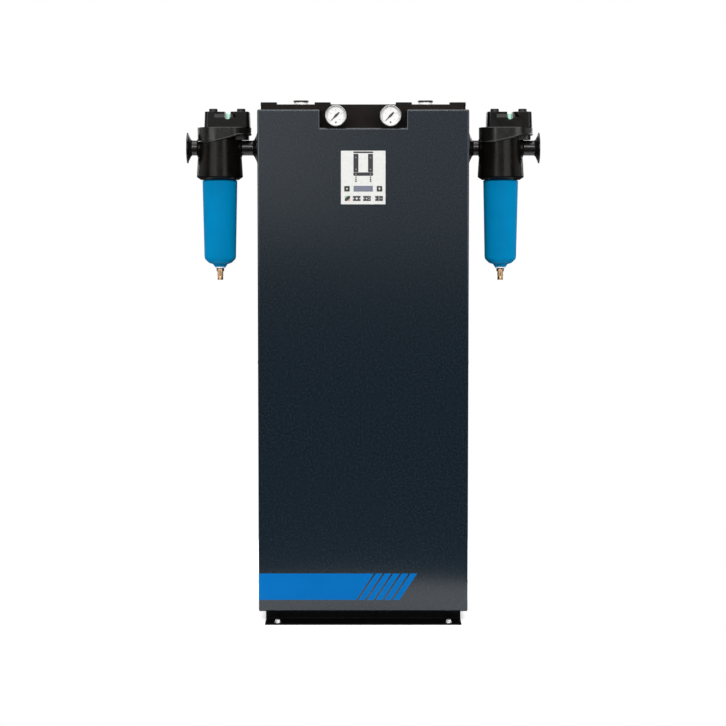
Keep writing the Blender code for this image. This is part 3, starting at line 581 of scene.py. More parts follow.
def level_face(bm, x0, x1, y0, y1, z):
    face_through(bm, ((x0, y0, z), (x1, y0, z), (x1, y1, z), (x0, y1, z)))


def pan_shell(bm, low, high, facing, xs, zs, skipped):
    """The outer skin of a folded pan: its face, a return down each side and a lip at each end."""
    face_y, lip_y = (low.y, high.y) if facing == FRONT else (high.y, low.y)
    return_y = face_y - facing * COVER_RETURN
    flat_cells(bm, xs, zs, face_y, skipped)
    for x in (low.x, high.x):
        for z0, z1 in zip(zs, zs[1:]):
            face_through(bm, ((x, face_y, z0), (x, return_y, z0), (x, return_y, z1), (x, face_y, z1)))
    for x0, x1 in zip(xs, xs[1:]):
        level_face(bm, x0, x1, face_y, return_y, low.z)
    for column, (x0, x1) in enumerate(zip(xs, xs[1:])):
        if (column, len(zs) - 2) in skipped:
            continue
        for y0, y1 in ((face_y, return_y), (return_y, lip_y)):
            level_face(bm, x0, x1, y0, y1, high.z)
    if skipped:
        notch_hem(bm, xs[1:-1], face_y, return_y, high.z)
    bmesh.ops.remove_doubles(bm, verts=bm.verts, dist=TINY)
    bmesh.ops.recalc_face_normals(bm, faces=bm.faces)
    folds = [edge for edge in bm.edges if len(edge.link_faces) == 2 and edge.calc_face_angle() > 1]
    bmesh.ops.bevel(bm, geom=folds, offset=FOLD, segments=5, profile=0.5, affect="EDGES")


def notch_hem(bm, xs, face_y, return_y, top):
    """The short walls that are folded back round the notch."""
    lines = [((x0, NOTCH_BOTTOM), (x1, NOTCH_BOTTOM)) for x0, x1 in zip(xs, xs[1:])]
    lines += [((x, NOTCH_BOTTOM), (x, top)) for x in (xs[0], xs[-1])]
    for start, end in lines:
        face_through(bm, [(x, y, z) for y, line in ((face_y, (start, end)), (return_y, (end, start)))
                          for x, z in line])


def cover_pan(name, facing, xs, zs, skipped):
    low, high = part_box(name)
    mesh = mesh_of(pan_shell, low, high, facing, xs, zs, skipped)
    outward = sum(face.normal.y * facing * face.area for face in mesh.polygons)
    if outward < 0:
        mesh.flip_normals()
    piece(f"{name}_pan", mesh, "blue_grey_powder_coat", replaces=[name], sheet=SHEET, edge=0.0005, angle=60)


def covers():
    low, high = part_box("front_cover")
    key_low, key_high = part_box("button_left")[0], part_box("button_right")[1]
    room = 0.003
    xs = (low.x, -NOTCH_HALF, key_low.x - room, key_high.x + room, NOTCH_HALF, high.x)
    zs = (low.z, key_low.z - room, key_high.z + room, NOTCH_BOTTOM, high.z)
    notch = {(column, 3) for column in (1, 2, 3)}
    cover_pan("front_cover", FRONT, xs, zs, notch | {(2, 1)})
    low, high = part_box("rear_cover")
    cover_pan("rear_cover", REAR, (low.x, high.x), (low.z, high.z), set())


def flush_screw(bm, place):
    """A countersunk screw, almost flush, with a hexagon socket."""
    radius, height, socket = 0.0045, 0.0006, hexagon_loop(0.0022, 24)
    loops = (circle(radius, 24), circle(radius * 0.88, 24), socket, socket)
    loft(bm, stack(zip(loops, (0, height, height, -height))), place)


def hexagon_loop(across, count):
    """A hexagon as a loop of many points, so that it can join a circle of as many points."""
    points = []
    for step in range(count):
        turn = math.tau * step / count
        reach = across * math.cos(math.pi / 6) / math.cos((turn % (math.pi / 3)) - math.pi / 6)
        points.append((reach * math.cos(turn), reach * math.sin(turn)))
    return points


def cover_screws():
    """The screws that hold each cover's side returns."""
    for name, facing in (("front_cover", FRONT), ("rear_cover", REAR)):
        low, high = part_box(name)
        y = facing * (abs(low.y if facing == FRONT else high.y) - COVER_RETURN / 2)
        parts = [part(flush_screw, along_x(side * high.x, y, z, side))
                 for side in (LEFT, RIGHT) for z in SCREW_HEIGHTS]
        piece(f"{name}_screws", joined(parts), "black_steel", SCREW_STEEL)


def front_stripe():
    """A blue band from the cover's left edge, ending in slanted bars."""
    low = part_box("front_cover")[0]
    face = low.y

    def leaning(left_bottom, left_top, right_bottom, right_top):
        outline = [(left_bottom, STRIPE_BOTTOM), (right_bottom, STRIPE_BOTTOM),
                   (right_top, STRIPE_TOP), (left_top, STRIPE_TOP)]
        return part(prism, outline, 0, STRIPE_SHEET, facing_front(0, face, 0))

    start = low.x + FOLD
    parts = [leaning(start, start, STRIPE_END - STRIPE_LEAN, STRIPE_END)]
    for bar in range(BAR_COUNT):
        left = STRIPE_END + BAR_GAP + bar * BAR_PERIOD
        right = left + BAR_PERIOD - BAR_GAP
        parts.append(leaning(left - STRIPE_LEAN, left, right - STRIPE_LEAN, right))
    piece("front_stripe", joined(parts), "bowl_blue", STRIPE_BLUE)

    def round_the_fold(radius):
        turns = [QUARTER * step / 5 for step in range(6)]
        return [(start - radius * math.sin(a), face + FOLD - radius * math.cos(a)) for a in turns]

    skin = round_the_fold(FOLD) + round_the_fold(FOLD + STRIPE_SHEET)[::-1]
    wrap = mesh_of(prism, skin, STRIPE_BOTTOM, STRIPE_TOP)
    piece("front_stripe_fold", wrap, "bowl_blue", STRIPE_BLUE)


def side_panels():
    for name, _side in SIDES:
        node = f"side_panel_{name}"
        low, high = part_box(node)
        _x, half_y, half_z = half_size(node)
        outline = rectangle(half_y, half_z, 0.002, steps=2)
        place = standing(*middle(node)) @ SECTION_ALONG_X
        mesh = mesh_of(prism, outline, -SHEET / 2, SHEET / 2, place)
        hole = ((low.x - SHEET, 0, PORT_Z), (high.x + SHEET, 0, PORT_Z), PORT_BOSS + SHEET, 48)
        mesh = carve(mesh, rod, *hole)
        piece(f"side_sheet_{name}", mesh, "blue_grey_powder_coat", replaces=[node], edge=0.0004)


def base_tray():
    """A folded hat section with rounded bends and punched anchor holes."""
    low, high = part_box("base_tray")
    sheet, bend, skirt = TRAY_SHEET, TRAY_BEND, TRAY_SKIRT
    reach, deck = high.y, high.z
    inner = bend - sheet
    half = [
        (skirt - sheet, deck - sheet, inner), (skirt - sheet, low.z, bend), (reach, low.z, 0.0004),
        (reach, low.z + sheet, 0.0006), (skirt, low.z + sheet, inner), (skirt, deck, bend),
    ]
    outline = rounded(half + [(-y, z, radius) for y, z, radius in reversed(half)], closed=True, steps=5)
    mesh = mesh_of(prism, outline, low.x, high.x, SECTION_ALONG_X)
    rods = [part(rod, (x, y, low.z - sheet), (x, y, low.z + 3 * sheet), ANCHOR_HOLE, 32)
            for x, y in ANCHORS]
    mesh = carve(mesh, several, *rods)
    piece("base_tray_folded", mesh, "black_steel", replaces=["base_tray"], edge=0.0004, angle=70)


def anchor_bolts():
    """Bright plated hexagon heads on washers, standing in the tray's anchor holes."""
    washer = rounded([(0, 0.0001, 0), (0.0075, 0.0001, 0), (0.0075, 0.0016, 0.0004), (0, 0.0016, 0)])
    parts = []
    for x, y in ANCHORS:
        place = standing(x, y, TRAY_SHEET)
        parts.append(part(lathe, washer, 32, place))
        parts.append(part(prism, circle(0.0060, 6, start=0.4), 0.0015, 0.0070, place, edge=0.0007))
    piece("anchor_bolts", joined(parts), "bare_aluminium", PLATED_STEEL)


def power_gland():
    """A dome-nut cable gland with a hexagon body and no cable in it."""
    x, _y, z = middle("power_gland")
    place = standing(x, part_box("rear_cover")[1].y, z) @ Matrix.Rotation(-QUARTER, 4, "X")
    dome = rounded([
        (0.0118, 0.0085, 0), (0.0118, 0.0210, 0.003), (0.0088, 0.0260, 0.0012), (0.0048, 0.0260, 0.0006),
        (0.0042, 0.0240, 0), (0.0042, 0.0085, 0),
    ], closed=True)
    thread = [(0.0100, 0.0003), (0.0100, -0.012), (0.0042, -0.012), (0.0042, 0.0003)]
    parts = [
        part(prism, circle(0.0135, 6), 0.0003, 0.0080, place, edge=0.0006),
        part(lathe, dome, 48, place, closed=True, rib=0.0004),
        part(lathe, thread, 32, place, closed=True),
    ]
    piece("gland_body", joined(parts), "black_plastic", replaces=["power_gland"], edge=0.0002)


# ---------------------------------------------------------------- top manifold

def top_manifold():
    """A casting with a bolt pad at each corner of each tower and a round boss at each side."""
    low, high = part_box("top_manifold")
    half_x, half_y, top = MANIFOLD_HALF_X, high.y, MANIFOLD_TOP
    pads = [(s * x, f * (half_y - PAD_HALF_Y)) for s in (LEFT, RIGHT) for x in PAD_XS
            for f in (FRONT, REAR)]
    outline = rectangle(half_x, half_y, 0.008)
    parts = [part(prism, outline, low.z, top, edge=0.0022)]
    for x, y in pads:
        pad = rectangle(PAD_HALF_X, PAD_HALF_Y, 0.005, (x, y), 4)
        wide = rectangle(PAD_HALF_X + 0.0004, PAD_HALF_Y, 0.005, (x, y), 4)
        levels = ((wide, top - 0.003), (pad, high.z - 0.0007), (pad, high.z))
        parts.append(part(loft, stack(levels)))
    for side in (LEFT, RIGHT):
        boss = rounded([
            (PORT_BOSS + 0.004, PORT_ROOT, 0), (PORT_BOSS, 0.232, 0.002), (PORT_BOSS, PORT_FACE, 0.0008),
            (PORT_BORE, PORT_FACE, 0.0005), (PORT_BORE, PORT_ROOT, 0),
        ])
        parts.append(part(lathe, boss, 56, along_x(0, 0, PORT_Z, side)))
    mesh = joined(parts)
    for x, y in pads:
        mesh = carve(mesh, rod, (x, y, high.z - 0.012), (x, y, high.z + 0.01), 0.009, 32)
    piece("manifold_casting", mesh, "black_casting", replaces=["top_manifold"], edge=0.0006, angle=40)
    bolts = [part(socket_head, standing(x, y, high.z - 0.0118), 0.0082, 0.0085, 0.0042) for x, y in pads]
    piece("manifold_bolts", joined(bolts), "black_steel", SCREW_STEEL)


def socket_head(bm, place, radius, height, socket):
    """A knurled socket-cap head with a hexagon socket."""
    edge = radius * 0.09
    floor = height * 0.45
    side = [(0, 0), (radius, 0), (radius, height - 1.6 * edge)]
    lathe(bm, side + [(radius - edge, height - edge / 2)], 48, place, rib=radius * 0.035)
    outer, top = circle(radius - edge, 48), height
    hexagon = hexagon_loop(socket, 48)
    levels = (
        (outer, height - edge / 2), ([(x * 0.97, y * 0.97) for x, y in outer], top),
        ([(x * 1.08, y * 1.08) for x, y in hexagon], top), (hexagon, top - edge), (hexagon, floor),
    )
    loft(bm, stack(levels), place, capped=False)
    prism(bm, hexagon, floor - edge, floor, place)


def fill_ports():
    """A plug with a hexagon socket on a white washer, over each tower."""
    for name, _side in SIDES:
        node = f"fill_washer_{name}"
        low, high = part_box(node)
        x, y, _z = middle(node)
        radius, bore = half_size(node)[0], 0.0117
        washer = rounded([(bore, high.z, 0.0004), (radius, high.z, 0.001), (radius, low.z, 0.001),
                          (bore, low.z, 0.0004)], closed=True)
        mesh = mesh_of(lathe, washer, 48, standing(x, y, 0), closed=True)
        piece(f"fill_seal_{name}", mesh, "white_nylon", replaces=[node])
        plug = f"fill_plug_{name}"
        plug_low, plug_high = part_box(plug)
        radius, seat = half_size(plug)[0], high.z + 0.0003
        head = [(0, plug_low.z), (0.011, plug_low.z), (0.011, seat), (radius - 0.0006, seat),
                (radius, seat + 0.0006), (radius, plug_high.z - 0.0008), (radius - 0.0008, plug_high.z),
                (0.0080, plug_high.z), (0.0075, plug_high.z - 0.0022), (0, plug_high.z - 0.0022)]
        mesh = mesh_of(lathe, head, 60, standing(x, y, 0))
        piece(f"fill_cap_{name}", mesh, "black_plastic", replaces=[plug])


# ---------------------------------------------------------------- gauges

def gauge_place(side, y):
    return facing_front(side * GAUGE_X, y, GAUGE_Z)


def clockwise(angle, radius):
    """A point on the dial at an angle clockwise from straight up."""
    return radius * math.sin(angle), radius * math.cos(angle)


def dial_mark(angle, inner, outer, half_width):
    """The outline of one graduation."""
    across = (math.cos(angle) * half_width, -math.sin(angle) * half_width)
    (ax, ay), (bx, by) = clockwise(angle, inner), clockwise(angle, outer)
    return [(ax - across[0], ay - across[1]), (ax + across[0], ay + across[1]),
            (bx + across[0], by + across[1]), (bx - across[0], by - across[1])]


def dial_numbers(name, side, y):
    """Plain numbers round the dial."""
    for number in range(0, SCALE_TOP + 1, 4):
        angle = DIAL_START + DIAL_SWEEP * number / SCALE_TOP
        text = bpy.data.curves.new("number", "FONT")
        text.body = str(number)
        text.size = NUMBER_SIZE
        text.align_x = "CENTER"
        text.align_y = "CENTER"
        text.extrude = PRINT / 2
        x, z = clockwise(angle, NUMBER_RADIUS)
        mesh = evaluated(linked("number", text))
        mesh.transform(gauge_place(side, y) @ Matrix.Translation((x, z, 0)))
        piece(f"dial_number_{name}_{number}", mesh, "black_plastic", INK_GREY)


def gauge_case(name, side):
    """A black case with a rolled bezel of bright steel, and a hexagon on its stem."""
    node = f"gauge_case_{name}"
    depth, radius = STEM_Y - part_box(node)[0].y, half_size(node)[0]
    place, rear = gauge_place(side, STEM_Y), depth - 0.031
    case = rounded([
        (0, depth - 0.0075, 0), (radius - 0.0014, depth - 0.0075, 0), (radius - 0.0014, depth - 0.006, 0),
        (radius - 0.0010, depth - 0.006, 0), (radius - 0.0010, rear, 0.002), (0.0075, rear, 0),
        (0.0075, 0.0105, 0), (0.0050, 0.0105, 0), (0.0050, -0.006, 0), (0, -0.006, 0),
    ])
    parts = [part(lathe, case, 64, place),
             part(prism, circle(0.0085, 6), 0.0006, 0.0100, place, edge=0.0006)]
    piece(f"gauge_body_{name}", joined(parts), "black_plastic", replaces=[node])
    bezel = rounded([
        (radius - 0.0022, depth - 0.0020, 0), (radius - 0.0018, depth, 0.0003), (radius, depth, 0.0008),
        (radius, depth - 0.0090, 0.0005), (radius - 0.0012, depth - 0.0095, 0),
        (radius - 0.0012, depth - 0.0025, 0),
    ], closed=True)
    mesh = mesh_of(lathe, bezel, 96, place, closed=True)
    piece(f"gauge_bezel_{name}", mesh, "bare_aluminium", BEZEL_STEEL)


def gauge_dial(name, side):
    """A white dial with its scale, on which the numbers run clockwise from lower left."""
    node = f"gauge_dial_{name}"
    low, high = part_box(node)
    radius = half_size(node)[0]
    disc = rounded([(0, high.y, 0), (radius, high.y, 0), (radius, low.y, 0.0002), (0, low.y, 0)])
    mesh = mesh_of(lathe, [(r, -y) for r, y in disc], 64, gauge_place(side, 0))
    piece(f"gauge_face_{name}", mesh, "dial_white", replaces=[node])
    place = gauge_place(side, low.y)
    parts = []
    for index in range(SCALE_STEPS + 1):
        angle = DIAL_START + DIAL_SWEEP * index / SCALE_STEPS
        inner, half_width = (0.0158, 0.00022) if index % 10 == 0 else (0.0172, 0.00011)
        parts.append(ink(dial_mark(angle, inner, SCALE_INNER, half_width), place))
    turn_start = QUARTER - DIAL_START
    band_out = arc(SCALE_OUTER, turn_start, turn_start - DIAL_SWEEP, 60)
    band_in = arc(SCALE_INNER, turn_start - DIAL_SWEEP, turn_start, 60)
    parts.append(part(strip, band_out, band_in[::-1], PRINT, place))
    piece(f"dial_scale_{name}", joined(parts), "black_plastic", INK_GREY)
    mark = mesh_of(prism, circle(0.0021, 20, (0, -0.0148)), 0, PRINT, place)
    piece(f"dial_mark_{name}", mark, "black_plastic", INK_DARK)
    dial_numbers(name, side, low.y)


def strip(bm, outer, inner, thickness, place):
    """A thin band between two open paths of the same length."""
    loft(bm, [[(*a, 0), (*b, 0), (*b, thickness), (*a, thickness)] for a, b in zip(outer, inner)], place)


def gauge_needle(name, side):
    """A pointer with a thin tip and a thick tail, under a domed hub."""
    node = f"gauge_needle_{name}"
    low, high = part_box(node)
    place = gauge_place(side, high.y) @ Matrix.Rotation(-DIAL_START, 4, "Z")
    half = [(-0.00055, 0.0155), (-0.0010, 0.0070), (-0.0024, 0.0020), (-0.0027, -0.0010),
            (-0.0020, -0.0060), (-0.0012, -0.0105)]
    outline = half + [(-x, y) for x, y in reversed(half)]
    hub = [(0, 0), (0.0024, 0), (0.0023, 0.0009), (0.0014, 0.0013), (0, 0.0014)]
    parts = [part(prism, outline, 0, high.y - low.y, place), part(lathe, hub, 24, place)]
    piece(f"pointer_{name}", joined(parts), "black_plastic", body=node, replaces=[node])


def gauge_lens(name, side):
    """A window that is slightly domed."""
    node = f"gauge_lens_{name}"
    low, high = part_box(node)
    radius, sheet = half_size(node)[0] - 0.0003, high.y - low.y
    place = gauge_place(side, high.y)
    dome = [(radius * math.sin(a), sheet * (0.45 + 0.5 * math.cos(a)))
            for a in [QUARTER * step / 8 for step in range(9)]]
    mesh = mesh_of(lathe, dome + [(radius, 0), (0, 0)], 64, place)
    piece(f"gauge_window_{name}", mesh, "clear_lens", replaces=[node])


def gauges():
    for name, side in SIDES:
        gauge_case(name, side)
        gauge_dial(name, side)
        gauge_needle(name, side)
        gauge_lens(name, side)


# ---------------------------------------------------------------- control label

def label_place():
    """A frame on the label's face: X from its middle, Y down to 0 at its top edge."""
    low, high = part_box("control_overlay")
    return facing_front(middle("control_overlay")[0], low.y, high.z)


def printed_piece(name, material, parts, slot="black_plastic", body=CABINET):
    piece(name, joined(parts), slot, material, body=body)


def block(left, right, drop, height, place, radius=0.0):
    """A printed rectangle, from its left and right ends and its top edge's drop."""
    centre = ((left + right) / 2, -drop - height / 2)
    if radius:
        outline = rectangle((right - left) / 2, height / 2, radius, centre, 4)
    else:
        outline = [(left, -drop - height), (right, -drop - height), (right, -drop), (left, -drop)]
    return ink(outline, place)


def label_film():
    low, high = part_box("control_overlay")
    x, _y, z = middle("control_overlay")
    half, _depth, rise = half_size("control_overlay")
    sheet = high.y - low.y
    mesh = mesh_of(prism, rectangle(half, rise, 0.0006), 0, sheet, facing_front(x, high.y, z), edge=0.00012)
    for node in ("button_left", "button_right", "display_window"):
        x, _y, z = middle(node)
        half, _depth, rise = half_size(node)
        cutter = rectangle(half + LABEL_ROOM, rise + LABEL_ROOM, 0.001, steps=3)
        mesh = carve(mesh, prism, cutter, 0, 3 * sheet, facing_front(x, high.y + sheet, z))
    piece("label_film", mesh, "label_white", replaces=["control_overlay"])


def mimic():
    """The diagram: two towers between two headers, with lamps and exhaust arrows."""
    place = label_place()
    bars = [
        block(-MIMIC_HALF, MIMIC_HALF, HEADER_DROP, HEADER_HEIGHT, place, 0.0012),
        block(-MIMIC_HALF, MIMIC_HALF, FOOTER_DROP, FOOTER_HEIGHT, place, 0.0022),
    ]
    for side in (LEFT, RIGHT):
        x = side * COLUMN_X
        bars.append(block(x - COLUMN_WIDTH / 2, x + COLUMN_WIDTH / 2, COLUMN_DROP, COLUMN_HEIGHT,
                          place, 0.0012))
        for step in range(3):
            drop, half = ARROW_DROP + step * ARROW_STEP, 0.0019 + 0.0006 * step
            head = [(x - half, -drop), (x, -drop - 0.0034), (x + half, -drop)]
            stem = [(x - ARROW_STEM, -drop + 0.0022), (x - ARROW_STEM, -drop), (x + ARROW_STEM, -drop),
                    (x + ARROW_STEM, -drop + 0.0022)]
            bars += [ink(outline, place) for outline in (head, stem)]
    printed_piece("mimic_lines", INK_DARK, bars)
    raised = place @ Matrix.Translation((0, 0, PRINT))
    lamps = [ink(circle(LAMP_RADIUS, 24, (side * COLUMN_X, -drop)), raised)
             for side in (LEFT, RIGHT) for drop in LAMP_DROPS]
    printed_piece("mimic_lamps", INK_GREY, lamps, "label_white")


def icons():
    """Four small symbols in a row: a status square, and three dark plates with signs on them."""
    place = label_place()
    raised = place @ Matrix.Translation((0, 0, PRINT))
    y, half_y = -ICON_DROP, ICON_HEIGHT / 2
    rise, depth = SIGN_RISE, SIGN_DEPTH
    plates, signs = [], []
    for x in ICON_XS:
        plates.append(ink(rectangle(ICON_HALF, half_y, 0.0008, (x, y), 3), place))
        end = x - ICON_HALF + SIGN_MARGIN
        signs.append(ink([(end, y - rise), (end + depth, y), (end, y + rise)], raised))
    first, second, third = ICON_XS
    signs.append(ink(circle(depth, 4, (first, y), 2 * QUARTER), raised))
    for tail in (first + ICON_HALF - SIGN_MARGIN, second):
        signs.append(ink([(tail, y + rise), (tail - depth, y), (tail, y - rise)], raised))
    for spoke in range(8):
        turn = math.tau * spoke / 8
        centre = (second + SIGN_OFFSET + 0.0026 * math.cos(turn), y + 0.0026 * math.sin(turn))
        signs.append(ink(circle(0.0007, 10, centre), raised))
    signs.append(block(third - ARROW_STEM, third + ARROW_STEM, ICON_DROP - 0.0044, 0.0088, raised))
    signs.append(ink(circle(0.0011, 16, (third + SIGN_OFFSET, y)), raised))
    printed_piece("icon_plates", INK_DARK, plates)
    printed_piece("icon_signs", INK_LIGHT, signs, "label_white")
    x, half = STATUS_X, STATUS_HALF
    corner = [(x - half, y - half_y), (x + half, y + half_y), (x - half, y + half_y)]
    other = [(x - half, y - half_y), (x + half, y - half_y), (x + half, y + half_y)]
    dark = [(x - half, y - half_y * 0.2), (x + half * 0.2, y + half_y), (x + half, y + half_y),
            (x + half, y + half_y * 0.2), (x - half * 0.2, y - half_y), (x - half, y - half_y)]
    printed_piece("icon_go", INK_GREEN, [ink(corner, place)], "indicator_green")
    printed_piece("icon_stop", INK_RED, [ink(other, place)], "label_white")
    printed_piece("icon_divider", INK_DARK, [ink(dark, raised)])


def display():
    """The display behind a thin dark rim."""
    low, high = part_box("display_window")
    x, _y, z = middle("display_window")
    half, _depth, rise = half_size("display_window")
    outer = rectangle(half, rise, 0.0008, steps=3)
    mesh = mesh_of(prism, outer, 0, high.y - low.y, facing_front(x, high.y, z), edge=0.0002)
    piece("display_panel", mesh, "display_grey", replaces=["display_window"])
    inner = rectangle(half - 0.0012, rise - 0.0012, 0.0005, steps=3)
    levels = ((outer, 0), (inner, 0), (inner, PRINT), (outer, PRINT), (outer, 0))
    rim = mesh_of(loft, stack(levels), facing_front(x, low.y, z), capped=False)
    piece("display_rim", rim, "display_grey", INK_SLATE)


def keys():
    """Two dark keys with a light symbol each: a dot on the left, an arrow on the right."""
    arrow = [(0, 0.0034), (0.0030, 0.0002), (0.0012, 0.0002), (0.0012, -0.0030), (-0.0012, -0.0030),
             (-0.0012, 0.0002), (-0.0030, 0.0002)]
    for name, _side in SIDES:
        node = f"button_{name}"
        low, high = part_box(node)
        x, _y, z = middle(node)
        half, depth = half_size(node)[0], high.y - low.y
        outline = rectangle(half, half, 0.0014, steps=4)
        crowned = [(a * 0.93, b * 0.93) for a, b in outline]
        levels = ((outline, 0), (outline, depth - 0.0004), (crowned, depth))
        mesh = mesh_of(loft, stack(levels), facing_front(x, high.y, z))
        piece(f"key_{name}", mesh, "black_plastic", body=node, replaces=[node])
        mark = circle(0.0018, 28) if name == "left" else arrow
        marks = [ink(mark, facing_front(x, low.y, z))]
        printed_piece(f"key_sign_{name}", INK_LIGHT, marks, "label_white", node)


def control_label():
    label_film()
    mimic()
    icons()
    display()
    keys()


# ---------------------------------------------------------------- filters

def in_filter(name, x=0.0, y=0.0, z=0.0):
    """A place from where the filter's bowl axis crosses its port axis."""
    return Matrix.Translation((FILTER_X[name] + x, y, PORT_Z + z))


def deck_loops():
    """The deck's skirt: level on top, its lower edge sweeping down towards the left."""
    top, level, deepest = 0.0469, 0.0284, 0.0112
    start, end = -0.034, 0.043

    def lower_edge(x):
        along = min(max((x - start) / (end - start), 0), 1)
        return deepest + (level - deepest) * along ** 1.7

    def ring(inset):
        return rectangle(0.0615 - inset, 0.0507 - inset, 0.046 - inset, (0.0110, 0), 16)

    upper = [[(x, y, top - drop) for x, y in ring(inset)] for inset, drop in ((0.0012, 0), (0, 0.0012))]
    bead = -0.0009
    skirt = ((0.0002, 0.0042), (bead, 0.0028), (bead, 0.0014), (0.0008, 0), (0.0085, 0.0030))
    return upper + [[(x, y, lower_edge(x) + rise) for x, y in ring(inset)] for inset, rise in skirt]


def filter_head(name):
    """Barrel with a boss at each port, and the deck with its swept skirt and a shelf under it."""
    barrel = rounded([
        (0, 0.0440, 0), (0.0470, 0.0440, 0), (0.0488, 0.0190, 0.010), (0.0506, -0.0230, 0.06),
        (0.0532, -0.0668, 0.0042), (0.0432, -0.0734, 0.0020), (0.0395, -0.0734, 0), (0.0395, -0.0640, 0),
        (0, -0.0640, 0),
    ], steps=5)
    shelf = rectangle(0.0330, 0.030, 0.012, (0.0342, 0), 6)
    place = in_filter(name)
    deck = mesh_of(several, part(loft, deck_loops(), place),
                   part(prism, shelf, 0.0183, 0.0310, place, edge=0.0008))
    # the deck wears the lighter copy of the head's paint: painted light
    piece(f"filter_{name}_deck", deck, "black_casting", DECK_BLACK_LIT)
    parts = [part(lathe, barrel, 96, place)]
    for side in (LEFT, RIGHT):
        boss = rounded([(0.0235, 0.040, 0), (0.0212, 0.0490, 0.002), (0.0200, 0.0515, 0.0008),
                        (0.0130, 0.0515, 0)])
        at = place @ Matrix.Rotation(side * QUARTER, 4, "Y")
        parts.append(part(lathe, boss + [(0.0130, 0.040)], 48, at, closed=True))
    piece(f"filter_{name}_casting", joined(parts), "black_casting", HEAD_BLACK,
          replaces=[f"filter_{name}_head"])


def cap_block(bm, place):
    """The cap with slightly drafted sides, and rounded upright edges."""
    base, top, rim = [rectangle(half_x, half_y, radius, (CAP_X, 0), 6) for half_x, half_y, radius in
                      ((0.0518, 0.0344, 0.0090), (0.0505, 0.0334, 0.0082), (0.0495, 0.0324, 0.0074))]
    levels = ((base, CAP_BOTTOM), (base, CAP_BOTTOM + 0.0012), (top, CAP_TOP - 0.0010), (rim, CAP_TOP))
    loft(bm, stack(levels), place)


def scoop_cutter(bm, place, near, far_low, far_high, front):
    """A recess beside the notch: a ledge at 45 degrees under an upright wall, with a slanted end."""
    low, high = 0.0577, 0.0840
    profile = ((0.045, low), (0.0252, 0.0775), (0.0252, high), (0.045, high))
    far = [(far_low + (far_high - far_low) * (z - low) / (high - low), -front * y, z) for y, z in profile]
    loft(bm, [[(near, -front * y, z) for y, z in profile], far], place)


def filter_cap(name):
    """The cap, with a U-shaped notch round the indicator and a recess either side of it."""
    place = in_filter(name)
    mesh = mesh_of(cap_block, place)
    floor, half = 0.0649, 0.0068
    cross = rounded([(-half, 0.095, 0), (-half, floor, 0.0060), (half, floor, 0.0060), (half, 0.095, 0)],
                    steps=8)
    notch = place @ Matrix.Translation((NOTCH_X, 0.045, 0)) @ Matrix.Rotation(QUARTER, 4, "X")
    mesh = carve(mesh, prism, cross, 0, 0.090, notch)
    for near, far_low, far_high in ((NOTCH_X - 0.0062, -0.0135, -0.0105), (NOTCH_X + 0.0062, 0.0500, 0.0295)):
        for front in (1, -1):
            mesh = carve(mesh, scoop_cutter, place, near, far_low, far_high, front)
    mesh = carve(mesh, rod, place @ Vector((NOTCH_X, 0, 0.056)), place @ Vector((NOTCH_X, 0, 0.090)),
                 0.0062, 32)
    piece(f"filter_{name}_cover", mesh, "black_casting", CAP_BLACK,
          replaces=[f"filter_{name}_cap"], edge=0.0005, angle=40)


def filter_trim(name):
    """Cap screws and the indicator."""
    for number, x in enumerate(CAP_SCREW_XS, start=1):
        node = f"filter_{name}_cap_screw_{number}"
        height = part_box(node)[1].z - (PORT_Z + CAP_TOP) - 0.0001
        place = in_filter(name, x, 0, 0.0825)
        mesh = mesh_of(socket_head, place, half_size(node)[0], height, 0.0052)
        piece(f"filter_{name}_screw_{number}", mesh, "black_steel", SCREW_STEEL, replaces=[node])
    node = f"filter_{name}_indicator"
    low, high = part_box(node)
    place = in_filter(name, NOTCH_X, 0, 0)
    base, top = low.z - PORT_Z, high.z - PORT_Z
    stem = rounded([(0, base, 0), (0.0055, base, 0), (0.0055, top, 0.0026), (0, top, 0)], steps=6)
    mesh = mesh_of(lathe, stem, 40, place)
    piece(f"filter_{name}_pin", mesh, "indicator_green", body=node, replaces=[node])


def filter_bowl(name):
    """The bowl: a slightly tapered side, a small shoulder and a cone down to the drain's boss."""
    profile = rounded([
        (0.0366, -0.0500, 0), (0.0372, -0.0500, 0), (0.0372, -0.0742, 0.0004), (0.0396, -0.0743, 0.0005),
        (0.0400, -0.0765, 0.0015), (0.0364, -0.2480, 0), (0.0358, -0.2545, 0.010), (0.0262, -0.2640, 0.010),
        (0.0165, -0.2672, 0.003), (0.0129, -0.2728, 0.0006), (0.0095, -0.2729, 0), (0.0095, -0.2765, 0.0004),
        (0.0063, -0.2765, 0), (0.0063, -0.2610, 0.004), (0.0310, -0.2500, 0.006), (0.0330, -0.2400, 0),
    ], steps=6)
    node = f"filter_{name}_bowl"
    mesh = mesh_of(lathe, profile, 96, in_filter(name), closed=True)
    piece(f"filter_{name}_vessel", mesh, "bowl_blue", body=node, replaces=[node])
    washer = rounded([(0.0094, -0.2729, 0), (0.0122, -0.2729, 0.0004), (0.0122, -0.2754, 0.0004),
                      (0.0094, -0.2754, 0)], closed=True, steps=3)
    mesh = mesh_of(lathe, washer, 48, in_filter(name), closed=True)
    piece(f"filter_{name}_drain_washer", mesh, "white_nylon", body=node)


